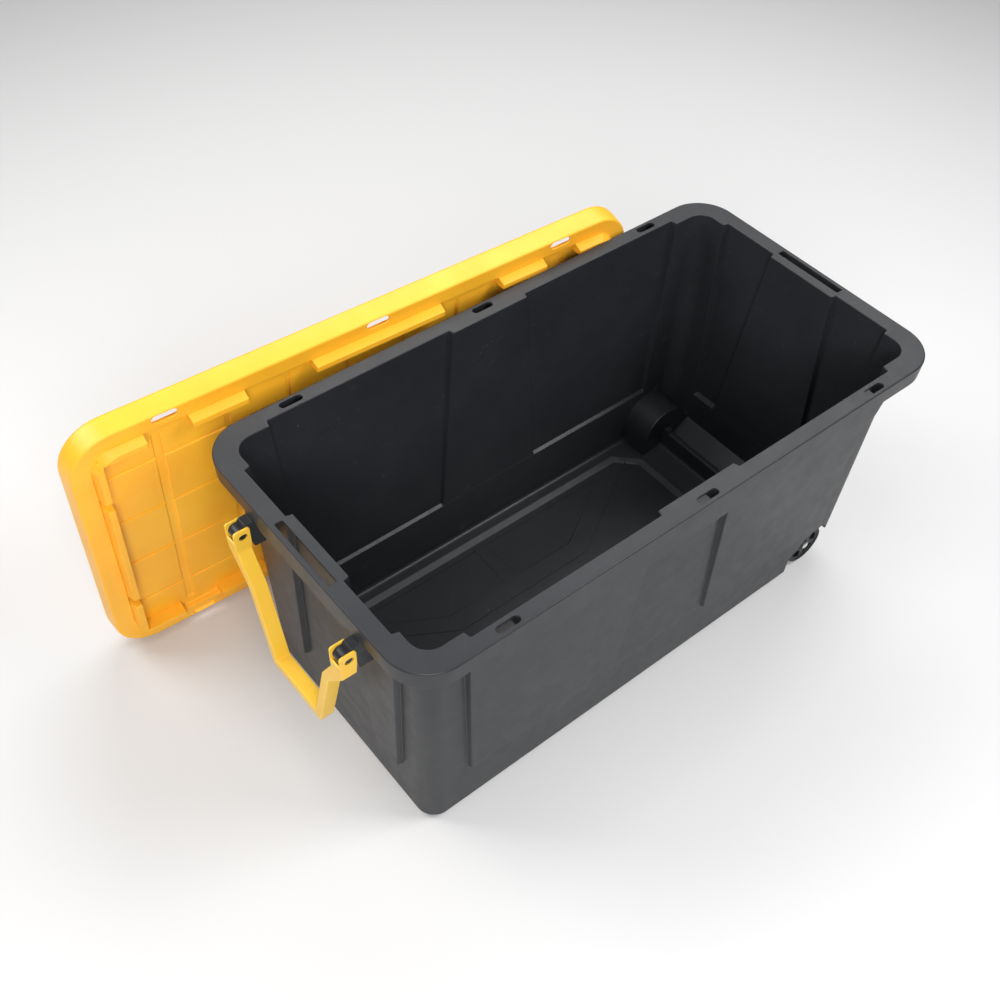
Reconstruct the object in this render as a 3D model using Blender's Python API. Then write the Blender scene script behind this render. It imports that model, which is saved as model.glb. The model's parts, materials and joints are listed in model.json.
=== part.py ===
"""Wheeled deck storage box: moulded tub, loose lid leaning on it, pull handle and two wheels.

Frame: metres, +Z up.  +X is the wheel end, -X the handle end, -Y the front long side, and
+Y the side that the lid leans on.  The origin is on the ground under the middle of the tub.
"""

import math

import bmesh
import bpy
from mathutils import Matrix, Vector

# ---------------------------------------------------------------- driving dimensions
LENGTH = 1.087            # over the rim, along X
WIDTH = 0.5616            # over the rim, along Y
HEIGHT = 0.518            # ground to rim top
WALL = 0.003
RIM_THICKNESS = 0.003
RIM_CORNER = 0.072        # outer corner radius of the rim
WALL_CORNER = 0.034       # outer corner radius of the walls under the rim
STEP = 0.0015             # half the width of the slope between two wall bays
GAP = 0.0003              # clearance kept between pieces that touch

# Walls: (inset of the outer surface from the rim edge, draft per metre of depth).
LONG_POST = (0.0369, 0.0274)
LONG_PANEL = (0.0246, 0.0410)
LONG_CENTRE = (0.0342, 0.0300)
END_POST = (0.0380, 0.0336)
END_PANEL = (0.0273, 0.0358)
END_CENTRE = (0.0375, 0.0336)
# Where one bay meets the next: (distance from the middle at the rim, change per metre).
LONG_POST_EDGE = (0.4341, -0.0608)
LONG_CENTRE_EDGE = (0.0806, 0.0785)
END_POST_EDGE = (0.1868, -0.0653)
END_CENTRE_EDGE = (0.0722, 0.0874)
SKIRT_STEP_OUTER = 0.0291   # skirt step, measured back from the post edge of a long side
SKIRT_STEP_INNER = 0.0411

PANEL_FOOT_DEPTH = 0.396    # the proud panels end on a ledge between these two depths
LEDGE_DEPTH = 0.400
FLOOR_TOP = 0.009
FLOOR_BOTTOM = 0.006
PAN_TOP = 0.003
TOE_INSET = 0.008           # the floor's fillet against the walls
CHAMFER_TOP = 0.014

SKIRT_CORNER = 0.0345       # depth of the rim skirt at the corners
SKIRT_LONG = 0.0595         # in the middle of a long side
SKIRT_END = 0.0460          # in the middle of an end

SLOT_X = 0.3805
SLOT_Y = 0.2677
SLOT_HALF_LENGTH = 0.0205
SLOT_HALF_WIDTH = 0.0063
SLOT_RIB_OFFSET = 0.0230     # stiffening ribs under the rim, either side of each slot
SLOT_RIB_HALF = 0.0011
SLOT_RIB_DEPTH = 0.0300
END_SLOT_X = 0.5281
END_SLOT_HALF_WIDTH = 0.0066
END_SLOT_HALF_LENGTH = 0.0690

PAN_LEFT, PAN_RIGHT, PAN_HALF_WIDTH = -0.462, 0.357, 0.203
PAN_CHAMFER = 0.045
PAN_SLOPE = 0.0112          # horizontal run of the step down into the pan

AXLE_X, AXLE_Z = 0.4235, 0.047
AXLE_RADIUS = 0.004
AXLE_PLAY = 0.0004          # between the axle and the bores that it runs through
AXLE_HALF_LENGTH = 0.2250
CAP_RADIUS = 0.0074
WASHER_RADIUS = 0.0095
HUB_SINK = 0.0006           # the hub's face stands this far behind the tyre's
WEB_SINK = 0.0030
WEB_BACK_SINK = 0.0110
RING_RADIUS = 0.0362        # inner radius of the tyre ring
WINDOW_RADII = (0.0165, 0.0320)
SPOKES = 5
WHEEL_RADIUS = 0.043
WHEEL_FACE_Y = 0.2238
WHEEL_INNER_Y = 0.1838
HOUSING_RADIUS = 0.0585
HOUSING_FACE_Y = 0.164
HOUSING_LEFT_X = 0.365
HOUSING_SHELF_Z = 0.063
WELL_OUTER_Y = 0.2275
HUB_INNER_Y = 0.1690
HUB_RADIUS = 0.0110
TUNNEL_BOSS_TOP = 0.0610    # the axle tunnel is higher where it meets the housings
TUNNEL_BOSS_Y = 0.1500
END_SLOPE = 0.622           # rise of the floor towards the end wall, between the housings

PIVOT_X, PIVOT_Z = -0.5612, 0.4557
CLEVIS_Y = 0.1375
LUG_HALF_WIDTH = 0.0102
LUG_NOSE_RADIUS = 0.0118
LUG_SWEEP = 0.0160          # radius kept free about the pivot, between the cheeks
CHEEK_INNER = 0.0106
CHEEK_OUTER = 0.0138
PIN_RADIUS = 0.0050
HANDLE_FRONT_X, HANDLE_BACK_X = -0.5755, -0.5505

LID_HALF_LENGTH = 0.5455
LID_HALF_WIDTH = 0.2795
LID_CORNER = 0.0795
LID_HEIGHT = 0.042
LID_FLANGE = 0.0335         # width of the flat flange on the underside, long sides
LID_END_FLANGE = 0.0385     # and at the ends
LID_FIELD_X = LID_HALF_LENGTH - LID_END_FLANGE
LID_FIELD_Y = LID_HALF_WIDTH - LID_FLANGE
LID_FIELD_CORNER = 0.045
LID_FIELD_DEPTH = 0.0110    # from the flange down to the tiles of the field
LID_GROOVE_DEPTH = 0.0145   # from the flange down to the grooves between the tiles
LID_WALL = 0.003
LID_EDGE_WALL = 0.0075      # outer wall with its draft, at the foot
LID_SLOT_Y = 0.2645
CROSS_GROOVES = (0.0550, 0.1650, 0.2770)   # distance of each pair from the middle
END_GROOVES = 0.3970
LONG_GROOVES = (0.0570, 0.1710)
CROSS_GROOVE_HALF = 0.0040
END_GROOVE_HALF = 0.0070
LONG_GROOVE_HALF = 0.0032
GROOVE_MARGIN = 0.018       # the grooves stop this far inside the field
BLOCK_HEIGHT = 0.0145
BLOCK_THICKNESS = 0.0150
LID_ORIGIN = Vector((-0.1798, 0.3360, 0.2788))
LID_LONG_AXIS = Vector((0.99922, -0.03954, -0.00025))
LID_UP_AXIS = Vector((-0.00308, -0.08430, 0.99644))

CORNER_STEPS = 5
ROUND_SEGMENTS = 40


# ---------------------------------------------------------------- small helpers
def clear_scene():
    for item in list(bpy.data.objects):
        bpy.data.objects.remove(item)


def material(name, colour, roughness, metallic=0.0):
    mat = bpy.data.materials.new(name)
    mat.use_nodes = True
    shader = mat.node_tree.nodes["Principled BSDF"]
    shader.inputs["Base Color"].default_value = (*colour, 1.0)
    shader.inputs["Roughness"].default_value = roughness
    shader.inputs["Metallic"].default_value = metallic
    return mat


def object_from(name, bm, mat=None):
    bmesh.ops.recalc_face_normals(bm, faces=bm.faces)
    mesh = bpy.data.meshes.new(name)
    bm.to_mesh(mesh)
    bm.free()
    item = bpy.data.objects.new(name, mesh)
    bpy.context.scene.collection.objects.link(item)
    if mat:
        mesh.materials.append(mat)
    return item


def loft(name, rings, mat=None):
    """A closed solid through rings of equally many points, with flat ends."""
    bm = bmesh.new()
    loops = [[bm.verts.new(point) for point in ring] for ring in rings]
    count = len(loops[0])
    for lower, upper in zip(loops, loops[1:]):
        for i in range(count):
            j = (i + 1) % count
            bm.faces.new((lower[i], lower[j], upper[j], upper[i]))
    bm.faces.new(loops[0])
    bm.faces.new(loops[-1])
    return object_from(name, bm, mat)


def prism(name, outline, axis, low, high, mat=None):
    """Extrude a flat outline along X, Y or Z between two positions."""
    place = {
        "X": lambda a, b, c: (c, a, b),
        "Y": lambda a, b, c: (a, c, b),
        "Z": lambda a, b, c: (a, b, c),
    }[axis]
    rings = [[place(a, b, level) for a, b in outline] for level in (low, high)]
    return loft(name, rings, mat)


def circle(cx, cz, radius, count):
    return [
        (cx + radius * math.cos(2 * math.pi * i / count),
         cz + radius * math.sin(2 * math.pi * i / count))
        for i in range(count)
    ]


def arc(cx, cz, radius, start, end, count):
    """Points on an arc, both ends included, angles in degrees."""
    points = []
    for i in range(count + 1):
        angle = math.radians(start + (end - start) * i / count)
        points.append((cx + radius * math.cos(angle), cz + radius * math.sin(angle)))
    return points


def obround(cx, cy, half_length, half_width, steps=6):
    """A slot outline with round ends, long in the first direction."""
    straight = half_length - half_width
    points = arc(straight, 0, half_width, -90, 90, steps)
    points += arc(-straight, 0, half_width, 90, 270, steps)
    return [(cx + a, cy + b) for a, b in points]


def rounded_rectangle(half_x, half_y, radius, steps=CORNER_STEPS):
    points = []
    for sx, sy, start in ((1, 1, 0), (-1, 1, 90), (-1, -1, 180), (1, -1, 270)):
        cx, cy = sx * (half_x - radius), sy * (half_y - radius)
        points += arc(cx, cy, radius, start, start + 90, steps)
    return points


def box_outline(low_a, low_b, high_a, high_b):
    return [(low_a, low_b), (high_a, low_b), (high_a, high_b), (low_a, high_b)]


def combine(target, tool, operation):
    """Join or cut with an exact Boolean, and keep the tool out of the model."""
    modifier = target.modifiers.new(f"{operation.lower()} {tool.name}", "BOOLEAN")
    modifier.operation = operation
    modifier.solver = "EXACT"
    modifier.object = tool
    tool.hide_render = True
    tool.display_type = "WIRE"


def shade(item, angle=30):
    item.data.shade_smooth()
    item.data.set_sharp_from_angle(angle=math.radians(angle))


# ---------------------------------------------------------------- the tub's outline
def at_depth(pair, depth):
    return pair[0] + pair[1] * depth


def mirrored_ring(quadrant):
    """Turn the points of the +X +Y quarter into a full ring, anticlockwise."""
    ring = [(x, y) for x, y in quadrant]
    ring += [(-x, y) for x, y in reversed(quadrant)]
    ring += [(-x, -y) for x, y in quadrant]
    ring += [(x, -y) for x, y in reversed(quadrant)]
    return ring


def edge_positions(depth, spread):
    """Where the bays change: two points each on the end (y) and on the long side (x)."""
    end_centre = at_depth(END_CENTRE_EDGE, depth) - spread
    end_post = at_depth(END_POST_EDGE, depth) + spread
    long_post = at_depth(LONG_POST_EDGE, depth) + spread
    long_centre = at_depth(LONG_CENTRE_EDGE, depth) - spread
    ys = [end_centre - STEP, end_centre + STEP, end_post - STEP, end_post + STEP]
    xs = [
        long_post + STEP, long_post - STEP,
        at_depth(LONG_POST_EDGE, depth) - SKIRT_STEP_OUTER,
        at_depth(LONG_POST_EDGE, depth) - SKIRT_STEP_INNER,
        long_centre + STEP, long_centre - STEP,
    ]
    return xs, ys


def wall_quarter(depth, shrink, panels=True):
    """Wall outline at a depth below the rim, moved in by shrink from the outer surface."""
    spread = WALL - shrink if panels else 0.0
    xs, ys = edge_positions(depth, spread)
    x_post = LENGTH / 2 - at_depth(END_POST, depth) - shrink
    y_post = WIDTH / 2 - at_depth(LONG_POST, depth) - shrink
    x_panel = LENGTH / 2 - at_depth(END_PANEL, depth) - shrink if panels else x_post
    x_centre = LENGTH / 2 - at_depth(END_CENTRE, depth) - shrink if panels else x_post
    y_panel = WIDTH / 2 - at_depth(LONG_PANEL, depth) - shrink if panels else y_post
    y_centre = WIDTH / 2 - at_depth(LONG_CENTRE, depth) - shrink if panels else y_post
    radius = WALL_CORNER - shrink
    end = list(zip((x_centre, x_panel, x_panel, x_post), ys))
    corner = arc(x_post - radius, y_post - radius, radius, 0, 90, CORNER_STEPS)
    side = list(zip(xs, (y_post, y_panel, y_panel, y_panel, y_panel, y_centre)))
    return end + corner + side


def rim_quarter(shrink):
    """Outline of the rim's outer edge, with its points opposite the wall's."""
    xs, ys = edge_positions(0.0, 0.0)
    radius = RIM_CORNER - shrink
    x_edge, y_edge = LENGTH / 2 - shrink, WIDTH / 2 - shrink
    end = [(x_edge, y) for y in ys]
    corner = arc(x_edge - radius, y_edge - radius, radius, 0, 90, CORNER_STEPS)
    side = [(x, y_edge) for x in xs]
    return end + corner + side


def skirt_depths():
    """Depth of the skirt at each point of a quarter outline."""
    end = [SKIRT_END] * 3 + [SKIRT_CORNER]
    corner = [SKIRT_CORNER] * (CORNER_STEPS + 1)
    side = [SKIRT_CORNER] * 3 + [SKIRT_LONG] * 3
    quarter = end + corner + side
    return quarter + quarter[::-1] + quarter + quarter[::-1]


def level_ring(quarter, z):
    return [(x, y, z) for x, y in mirrored_ring(quarter)]


def tub_shell():
    """The outside of walls and rim as one solid, before the inside is cut out."""
    under_rim = RIM_THICKNESS + 0.001
    bottoms = skirt_depths()
    rings = [
        level_ring(wall_quarter(HEIGHT, 0.006, panels=False), FLOOR_BOTTOM),
        level_ring(wall_quarter(HEIGHT - CHAMFER_TOP, 0.0, panels=False), CHAMFER_TOP),
        level_ring(wall_quarter(LEDGE_DEPTH, 0.0, panels=False), HEIGHT - LEDGE_DEPTH),
        level_ring(wall_quarter(PANEL_FOOT_DEPTH, 0.0), HEIGHT - PANEL_FOOT_DEPTH),
        level_ring(wall_quarter(under_rim, 0.0), HEIGHT - under_rim),
        level_ring(rim_quarter(WALL), HEIGHT - under_rim),
        [(x, y, HEIGHT - d) for (x, y), d in zip(mirrored_ring(rim_quarter(WALL)), bottoms)],
        [(x, y, HEIGHT - d) for (x, y), d in zip(mirrored_ring(rim_quarter(0.0)), bottoms)],
        level_ring(rim_quarter(0.0), HEIGHT - 0.0015),
        level_ring(rim_quarter(0.0015), HEIGHT),
    ]
    return loft("tub", rings, MATERIALS["tub"])


def tub_cavity():
    """The space inside the walls, down to the perimeter floor."""
    above = 0.005
    rings = [
        level_ring(wall_quarter(HEIGHT, WALL + TOE_INSET, panels=False), FLOOR_TOP),
        level_ring(wall_quarter(HEIGHT - CHAMFER_TOP, WALL, panels=False), FLOOR_TOP + 0.010),
        level_ring(wall_quarter(LEDGE_DEPTH, WALL, panels=False), HEIGHT - LEDGE_DEPTH),
        level_ring(wall_quarter(PANEL_FOOT_DEPTH, WALL), HEIGHT - PANEL_FOOT_DEPTH),
        level_ring(wall_quarter(0.0, WALL), HEIGHT),
        level_ring(wall_quarter(0.0, WALL), HEIGHT + above),
    ]
    return loft("cavity_cutter", rings)


def octagon(left, right, half_width, chamfer):
    return [
        (right, -half_width + chamfer), (right, half_width - chamfer),
        (right - chamfer, half_width), (left + chamfer, half_width),
        (left, half_width - chamfer), (left, -half_width + chamfer),
        (left + chamfer, -half_width), (right - chamfer, -half_width),
    ]


def pan_solid(name, grow, low, high, top):
    """The sunken middle of the floor: an octagon that narrows downwards."""
    wide = octagon(PAN_LEFT - grow, PAN_RIGHT + grow, PAN_HALF_WIDTH + grow, PAN_CHAMFER)
    narrow = octagon(
        PAN_LEFT - grow + PAN_SLOPE, PAN_RIGHT + grow - PAN_SLOPE,
        PAN_HALF_WIDTH + grow - PAN_SLOPE, PAN_CHAMFER - PAN_SLOPE * 0.4)
    rings = [
        [(x, y, low) for x, y in narrow],
        [(x, y, high) for x, y in wide],
        [(x, y, top) for x, y in wide],
    ]
    return loft(name, rings)


# ---------------------------------------------------------------- wheel end of the tub
def arch_outline(radius, left, shelf_z, right, bottom):
    """A wheel arch: upright on the left, round over the wheel, level shelf to the right."""
    end_angle = math.degrees(math.asin((shelf_z - AXLE_Z) / radius))
    start_angle = math.degrees(math.acos((left - AXLE_X) / radius))
    points = [(left, bottom)]
    points += arc(AXLE_X, AXLE_Z, radius, start_angle, end_angle, 14)
    points += [(right, shelf_z), (right, bottom)]
    return points


def opening_outline():
    """The wheel's opening in the side wall: cut off by a slanting edge on the upper left."""
    radius = HOUSING_RADIUS - WALL
    shelf_z = HOUSING_SHELF_Z - WALL
    end_angle = math.degrees(math.asin((shelf_z - AXLE_Z) / radius))
    points = [
        (AXLE_X - 0.0555, -0.010), (AXLE_X - 0.0565, AXLE_Z + 0.001),
        (AXLE_X - 0.0375, AXLE_Z + 0.021), (AXLE_X - 0.0235, AXLE_Z + 0.0385),
        (AXLE_X - 0.0100, AXLE_Z + 0.0455), (AXLE_X + 0.0135, AXLE_Z + 0.0485),
    ]
    points += arc(AXLE_X, AXLE_Z, radius, 66, end_angle, 7)
    points += [(0.520, shelf_z), (0.520, -0.010)]
    return points


def ridge_outline():
    """Raised floor between the housings: ramp, axle tunnel, gutter, slope up to the end wall."""
    return [
        (0.356, -0.010), (0.356, FLOOR_TOP - 0.0005), (0.4000, 0.0165), (0.4085, 0.0185),
        (0.4130, 0.0230), (0.4155, 0.0300), (0.4170, 0.0490), (0.4190, 0.0535),
        (0.4225, 0.0555), (0.4280, 0.0555), (0.4320, 0.0330), (0.4460, 0.0285),
        (0.5000, 0.0285 + 0.0540 * END_SLOPE), (0.5000, -0.010),
    ]


def ridge_hollow_outline():
    """The same, one wall thickness lower, open underneath and through the end wall."""
    return [
        (0.4165, -0.010), (0.4165, 0.0180), (0.4190, 0.0485), (0.4205, 0.0525),
        (0.4275, 0.0525), (0.4300, 0.0300), (0.4460, 0.0255), (0.5200, 0.0255 + 0.0740 * END_SLOPE),
        (0.5200, -0.010),
    ]


def cheek_trim_outline():
    """What is cut off the housings' inner walls, so that the box can tip on to its wheels."""
    radius = WHEEL_RADIUS - 0.003
    points = [(AXLE_X, -0.010)] + arc(AXLE_X, AXLE_Z, radius, -90, -25, 5)
    return points + [(0.5200, 0.0225 + 0.0740 * END_SLOPE), (0.5200, -0.010)]


def shape_wheel_end(tub, cavity):
    """Housings and tunnel stand inside the tub; the wells behind them are open outside."""
    housing = arch_outline(HOUSING_RADIUS, HOUSING_LEFT_X, HOUSING_SHELF_Z, 0.505, -0.010)
    well = arch_outline(
        HOUSING_RADIUS - WALL, HOUSING_LEFT_X + WALL, HOUSING_SHELF_Z - WALL, 0.520, -0.010)
    opening = opening_outline()
    for name, side in (("front", -1), ("back", 1)):
        faces = sorted((side * HOUSING_FACE_Y, side * 0.240))
        combine(cavity, prism(f"housing_{name}", housing, "Y", *faces), "DIFFERENCE")
    combine(cavity, prism("floor_ridge", ridge_outline(), "Y", -0.166, 0.166), "DIFFERENCE")
    boss = box_outline(0.4165, 0.030, 0.4305, TUNNEL_BOSS_TOP)
    for name, side in (("front", -1), ("back", 1)):
        ends = sorted((side * TUNNEL_BOSS_Y, side * 0.166))
        combine(cavity, prism(f"tunnel_boss_{name}", boss, "Y", *ends), "DIFFERENCE")
    combine(tub, cavity, "DIFFERENCE")
    for name, side in (("front", -1), ("back", 1)):
        faces = sorted((side * (HOUSING_FACE_Y + WALL), side * WELL_OUTER_Y))
        combine(tub, prism(f"well_{name}", well, "Y", *faces), "DIFFERENCE")
        faces = sorted((side * (WELL_OUTER_Y - 0.004), side * 0.260))
        combine(tub, prism(f"opening_{name}", opening, "Y", *faces), "DIFFERENCE")
        faces = sorted((side * (HOUSING_FACE_Y - 0.001), side * 0.240))
        trim = prism(f"cheek_trim_{name}", cheek_trim_outline(), "Y", *faces)
        combine(tub, trim, "DIFFERENCE")
    half = HOUSING_FACE_Y - 0.0005
    combine(tub, prism("ridge_hollow", ridge_hollow_outline(), "Y", -half, half), "DIFFERENCE")
    bore = circle(AXLE_X, AXLE_Z, AXLE_RADIUS + AXLE_PLAY, 16)
    combine(tub, prism("axle_bore", bore, "Y", -0.190, 0.190), "DIFFERENCE")


# ---------------------------------------------------------------- handle lugs and rim slots
def lug_outline():
    """Side view of a lug: a flat-topped beam, a round nose for the pin, a web down the wall."""
    top = HEIGHT - SKIRT_END + 0.0015
    nose = arc(PIVOT_X - 0.0005, PIVOT_Z, LUG_NOSE_RADIUS, 65, 262, 12)
    return [(-0.5120, 0.4190), (-0.5120, 0.5150), (-0.5415, 0.5150), (-0.5415, top),
            (-0.5545, top)] + nose + [(-0.5470, 0.4340), (-0.5436, 0.4190)]


def add_lugs(tub):
    outline = lug_outline()
    for name, side in (("front", -1), ("back", 1)):
        middle = side * CLEVIS_Y
        low, high = middle - LUG_HALF_WIDTH, middle + LUG_HALF_WIDTH
        combine(tub, prism(f"lug_{name}", outline, "Y", low, high), "UNION")
        hole = circle(PIVOT_X, PIVOT_Z, PIN_RADIUS + GAP, 16)
        combine(tub, prism(f"lug_bore_{name}", hole, "Y", low - 0.01, high + 0.01), "DIFFERENCE")


def add_slot_ribs(tub):
    """Stiffening ribs between the wall and the skirt, either side of each side slot."""
    low, high = HEIGHT - SLOT_RIB_DEPTH, HEIGHT - 0.002
    for row, side in (("front", -1), ("back", 1)):
        low_y, high_y = sorted((side * 0.2420, side * (WIDTH / 2 - 0.0015)))
        for slot, x in (("left", -SLOT_X), ("middle", 0.0), ("right", SLOT_X)):
            for end in (-1, 1):
                middle = x + end * SLOT_RIB_OFFSET
                outline = box_outline(middle - SLOT_RIB_HALF, low_y, middle + SLOT_RIB_HALF, high_y)
                rib = prism(f"slot_rib_{row}_{slot}_{end}", outline, "Z", low, high)
                combine(tub, rib, "UNION")


def cut_rim_slots(tub):
    low, high = HEIGHT - 0.010, HEIGHT + 0.010
    for row, y in (("front", -SLOT_Y), ("back", SLOT_Y)):
        for column, x in (("left", -SLOT_X), ("middle", 0.0), ("right", SLOT_X)):
            outline = obround(x, y, SLOT_HALF_LENGTH, SLOT_HALF_WIDTH)
            slot = prism(f"rim_slot_{row}_{column}", outline, "Z", low, high)
            combine(tub, slot, "DIFFERENCE")
    for name, x in (("handle_end", -END_SLOT_X), ("wheel_end", END_SLOT_X)):
        outline = box_outline(
            x - END_SLOT_HALF_WIDTH, -END_SLOT_HALF_LENGTH,
            x + END_SLOT_HALF_WIDTH, END_SLOT_HALF_LENGTH)
        combine(tub, prism(f"end_slot_{name}", outline, "Z", low, high), "DIFFERENCE")


def make_tub():
    tub = tub_shell()
    pan = pan_solid("pan_outside", WALL, 0.0, FLOOR_BOTTOM, FLOOR_BOTTOM + 0.0015)
    combine(tub, pan, "UNION")
    add_lugs(tub)
    add_slot_ribs(tub)
    shape_wheel_end(tub, tub_cavity())
    pan = pan_solid("pan_inside", 0.0, PAN_TOP, FLOOR_TOP, FLOOR_TOP + 0.010)
    combine(tub, pan, "DIFFERENCE")
    cut_rim_slots(tub)
    return tub


# ---------------------------------------------------------------- wheels and axle
def turned(name, profile, y_side, mat, segments=ROUND_SEGMENTS):
    """Spin a closed (radius, distance from the middle plane) profile about the axle."""
    bm = bmesh.new()
    rings = []
    for i in range(segments):
        angle = 2 * math.pi * i / segments
        ring = [
            bm.verts.new((r * math.cos(angle), y_side * y, r * math.sin(angle)))
            for r, y in profile
        ]
        rings.append(ring)
    count = len(profile)
    for i in range(segments):
        this, following = rings[i], rings[(i + 1) % segments]
        for a in range(count):
            b = (a + 1) % count
            bm.faces.new((this[a], this[b], following[b], following[a]))
    item = object_from(name, bm, mat)
    item.location = (AXLE_X, 0.0, AXLE_Z)
    return item


def spoke_window(start, end):
    """One window between two spokes, as an outline in the wheel's plane."""
    inner, outer = WINDOW_RADII
    return arc(0, 0, outer, start, end, 5) + arc(0, 0, inner, end - 5, start + 5, 3)


def make_wheel(name, side):
    bore = AXLE_RADIUS + AXLE_PLAY
    face, hub_face = WHEEL_FACE_Y, WHEEL_FACE_Y - HUB_SINK
    web_face, web_back = WHEEL_FACE_Y - WEB_SINK, WHEEL_FACE_Y - WEB_BACK_SINK
    profile = [
        (bore, HUB_INNER_Y), (HUB_RADIUS, HUB_INNER_Y), (HUB_RADIUS, web_back),
        (RING_RADIUS, web_back), (RING_RADIUS, WHEEL_INNER_Y),
        (WHEEL_RADIUS - 0.002, WHEEL_INNER_Y), (WHEEL_RADIUS, WHEEL_INNER_Y + 0.002),
        (WHEEL_RADIUS, face - 0.004), (WHEEL_RADIUS - 0.0015, face - 0.001),
        (WHEEL_RADIUS - 0.004, face), (RING_RADIUS + 0.001, face), (RING_RADIUS - 0.001, web_face),
        (HUB_RADIUS + 0.001, web_face), (HUB_RADIUS - 0.001, hub_face), (bore, hub_face),
    ]
    wheel = turned(name, profile, side, MATERIALS["wheel"])
    for i in range(SPOKES):
        middle = 90 + 360 * i / SPOKES
        faces = sorted((side * (web_back - 0.002), side * (face + 0.002)))
        outline = spoke_window(middle - 26, middle + 26)
        window = prism(f"{name}_window_{i + 1}", outline, "Y", *faces)
        window.location = (AXLE_X, 0.0, AXLE_Z)
        combine(wheel, window, "DIFFERENCE")
    shade(wheel)


def make_axle():
    outline = circle(0, 0, AXLE_RADIUS, 24)
    axle = prism("axle", outline, "Y", -AXLE_HALF_LENGTH, AXLE_HALF_LENGTH, MATERIALS["steel"])
    axle.location = (AXLE_X, 0.0, AXLE_Z)
    shade(axle)


def make_axle_cap(name, side):
    """A shallow push-on cap: domed outside, with a blind bore for the axle's end."""
    crown = WHEEL_FACE_Y + 0.0028
    inside = AXLE_RADIUS + GAP
    blind_end = AXLE_HALF_LENGTH + GAP
    foot = WHEEL_FACE_Y - HUB_SINK + GAP
    profile = [(CAP_RADIUS - 0.0016, crown - 0.0003), (CAP_RADIUS, crown - 0.0014),
               (CAP_RADIUS, foot), (inside, foot), (inside, blind_end)]
    bm = bmesh.new()
    segments = 24
    outer_pole = bm.verts.new((0, side * crown, 0))
    inner_pole = bm.verts.new((0, side * blind_end, 0))
    rings = []
    for i in range(segments):
        angle = 2 * math.pi * i / segments
        rings.append([
            bm.verts.new((r * math.cos(angle), side * y, r * math.sin(angle)))
            for r, y in profile
        ])
    for i in range(segments):
        this, following = rings[i], rings[(i + 1) % segments]
        bm.faces.new((outer_pole, this[0], following[0]))
        for a in range(len(profile) - 1):
            bm.faces.new((this[a], this[a + 1], following[a + 1], following[a]))
        bm.faces.new((this[-1], inner_pole, following[-1]))
    cap = object_from(f"axle_cap_{name}", bm, MATERIALS["steel"])
    cap.location = (AXLE_X, 0.0, AXLE_Z)
    shade(cap)


def make_washer(name, side):
    """A spacer between the housing's inner wall and the wheel's hub."""
    low, high = HOUSING_FACE_Y + WALL + GAP, HUB_INNER_Y - GAP
    inside = AXLE_RADIUS + GAP
    profile = [(inside, low), (WASHER_RADIUS, low), (WASHER_RADIUS, high), (inside, high)]
    turned(f"axle_washer_{name}", profile, side, MATERIALS["steel"], 24)


# ---------------------------------------------------------------- pull handle
def half_bail():
    """Outline of the bail in the YZ plane, right half, from the grip's middle and back."""
    outer = [(0.0, 0.2055), (0.0670, 0.2055), (0.1080, 0.3650), (0.1513, 0.4200), (0.1513, 0.4400)]
    inner = [(0.1237, 0.4400), (0.1237, 0.4270), (0.0930, 0.3720), (0.0550, 0.2235), (0.0, 0.2235)]
    return outer + inner


def cheek_outline():
    """Side view of a clevis cheek, rounded within the sweep that clears the rim."""
    front, back, top = -0.5765, -0.5490, 0.4705
    points = [(HANDLE_BACK_X, 0.4270), (back, 0.4400), (back, top - 0.0050)]
    points += arc(back - 0.0040, top - 0.0040, 0.0040, 0, 90, 3)[1:]
    points += arc(front + 0.0050, top - 0.0050, 0.0050, 90, 180, 3)
    points += [(front, 0.4400), (HANDLE_FRONT_X, 0.4270)]
    return points


def make_handle():
    """Two cranked arms and a channel grip, with a clevis on the end of each arm."""
    outline = half_bail()
    ring = outline + [(-y, z) for y, z in reversed(outline) if y > 0]
    handle = prism("pull_handle", ring, "X", HANDLE_FRONT_X, HANDLE_BACK_X, MATERIALS["yellow"])
    for name, side in (("front", -1), ("back", 1)):
        middle = side * CLEVIS_Y
        block = prism(f"clevis_{name}", cheek_outline(), "Y",
                      middle - CHEEK_OUTER, middle + CHEEK_OUTER)
        combine(handle, block, "UNION")
        room = lug_clearance(f"clevis_room_{name}", middle)
        combine(handle, room, "DIFFERENCE")
        hole = obround(PIVOT_X, PIVOT_Z, 0.0075, 0.0055)
        combine(handle, prism(f"cheek_hole_{name}", hole, "Y", middle - 0.02, middle + 0.02),
                "DIFFERENCE")
    channel = [(-0.5725, 0.1900), (-0.5725, 0.2135), (-0.5695, 0.2165), (-0.5565, 0.2165),
               (-0.5535, 0.2135), (-0.5535, 0.1900)]
    combine(handle, prism("grip_channel", channel, "Y", -0.052, 0.052), "DIFFERENCE")
    return handle


def lug_clearance(name, middle):
    """Room between the cheeks: clear of the lug through the handle's whole swing."""
    outline = [(-0.5440, 0.4250), (-0.5440, 0.4900), (-0.5850, 0.4900), (-0.5850, 0.4400)]
    outline += arc(PIVOT_X, PIVOT_Z, LUG_SWEEP, 215, 262, 4)
    outline += [(HANDLE_BACK_X + 0.001, 0.4275)]
    return prism(name, outline, "Y", middle - CHEEK_INNER, middle + CHEEK_INNER)


def make_pins():
    for name, side in (("front", -1), ("back", 1)):
        length = CHEEK_OUTER - 0.0010
        pin = prism(f"handle_pin_{name}", circle(0, 0, PIN_RADIUS, 20), "Y",
                    -length, length, MATERIALS["tub"])
        pin.location = (PIVOT_X, side * CLEVIS_Y, PIVOT_Z)
        shade(pin)


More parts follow.
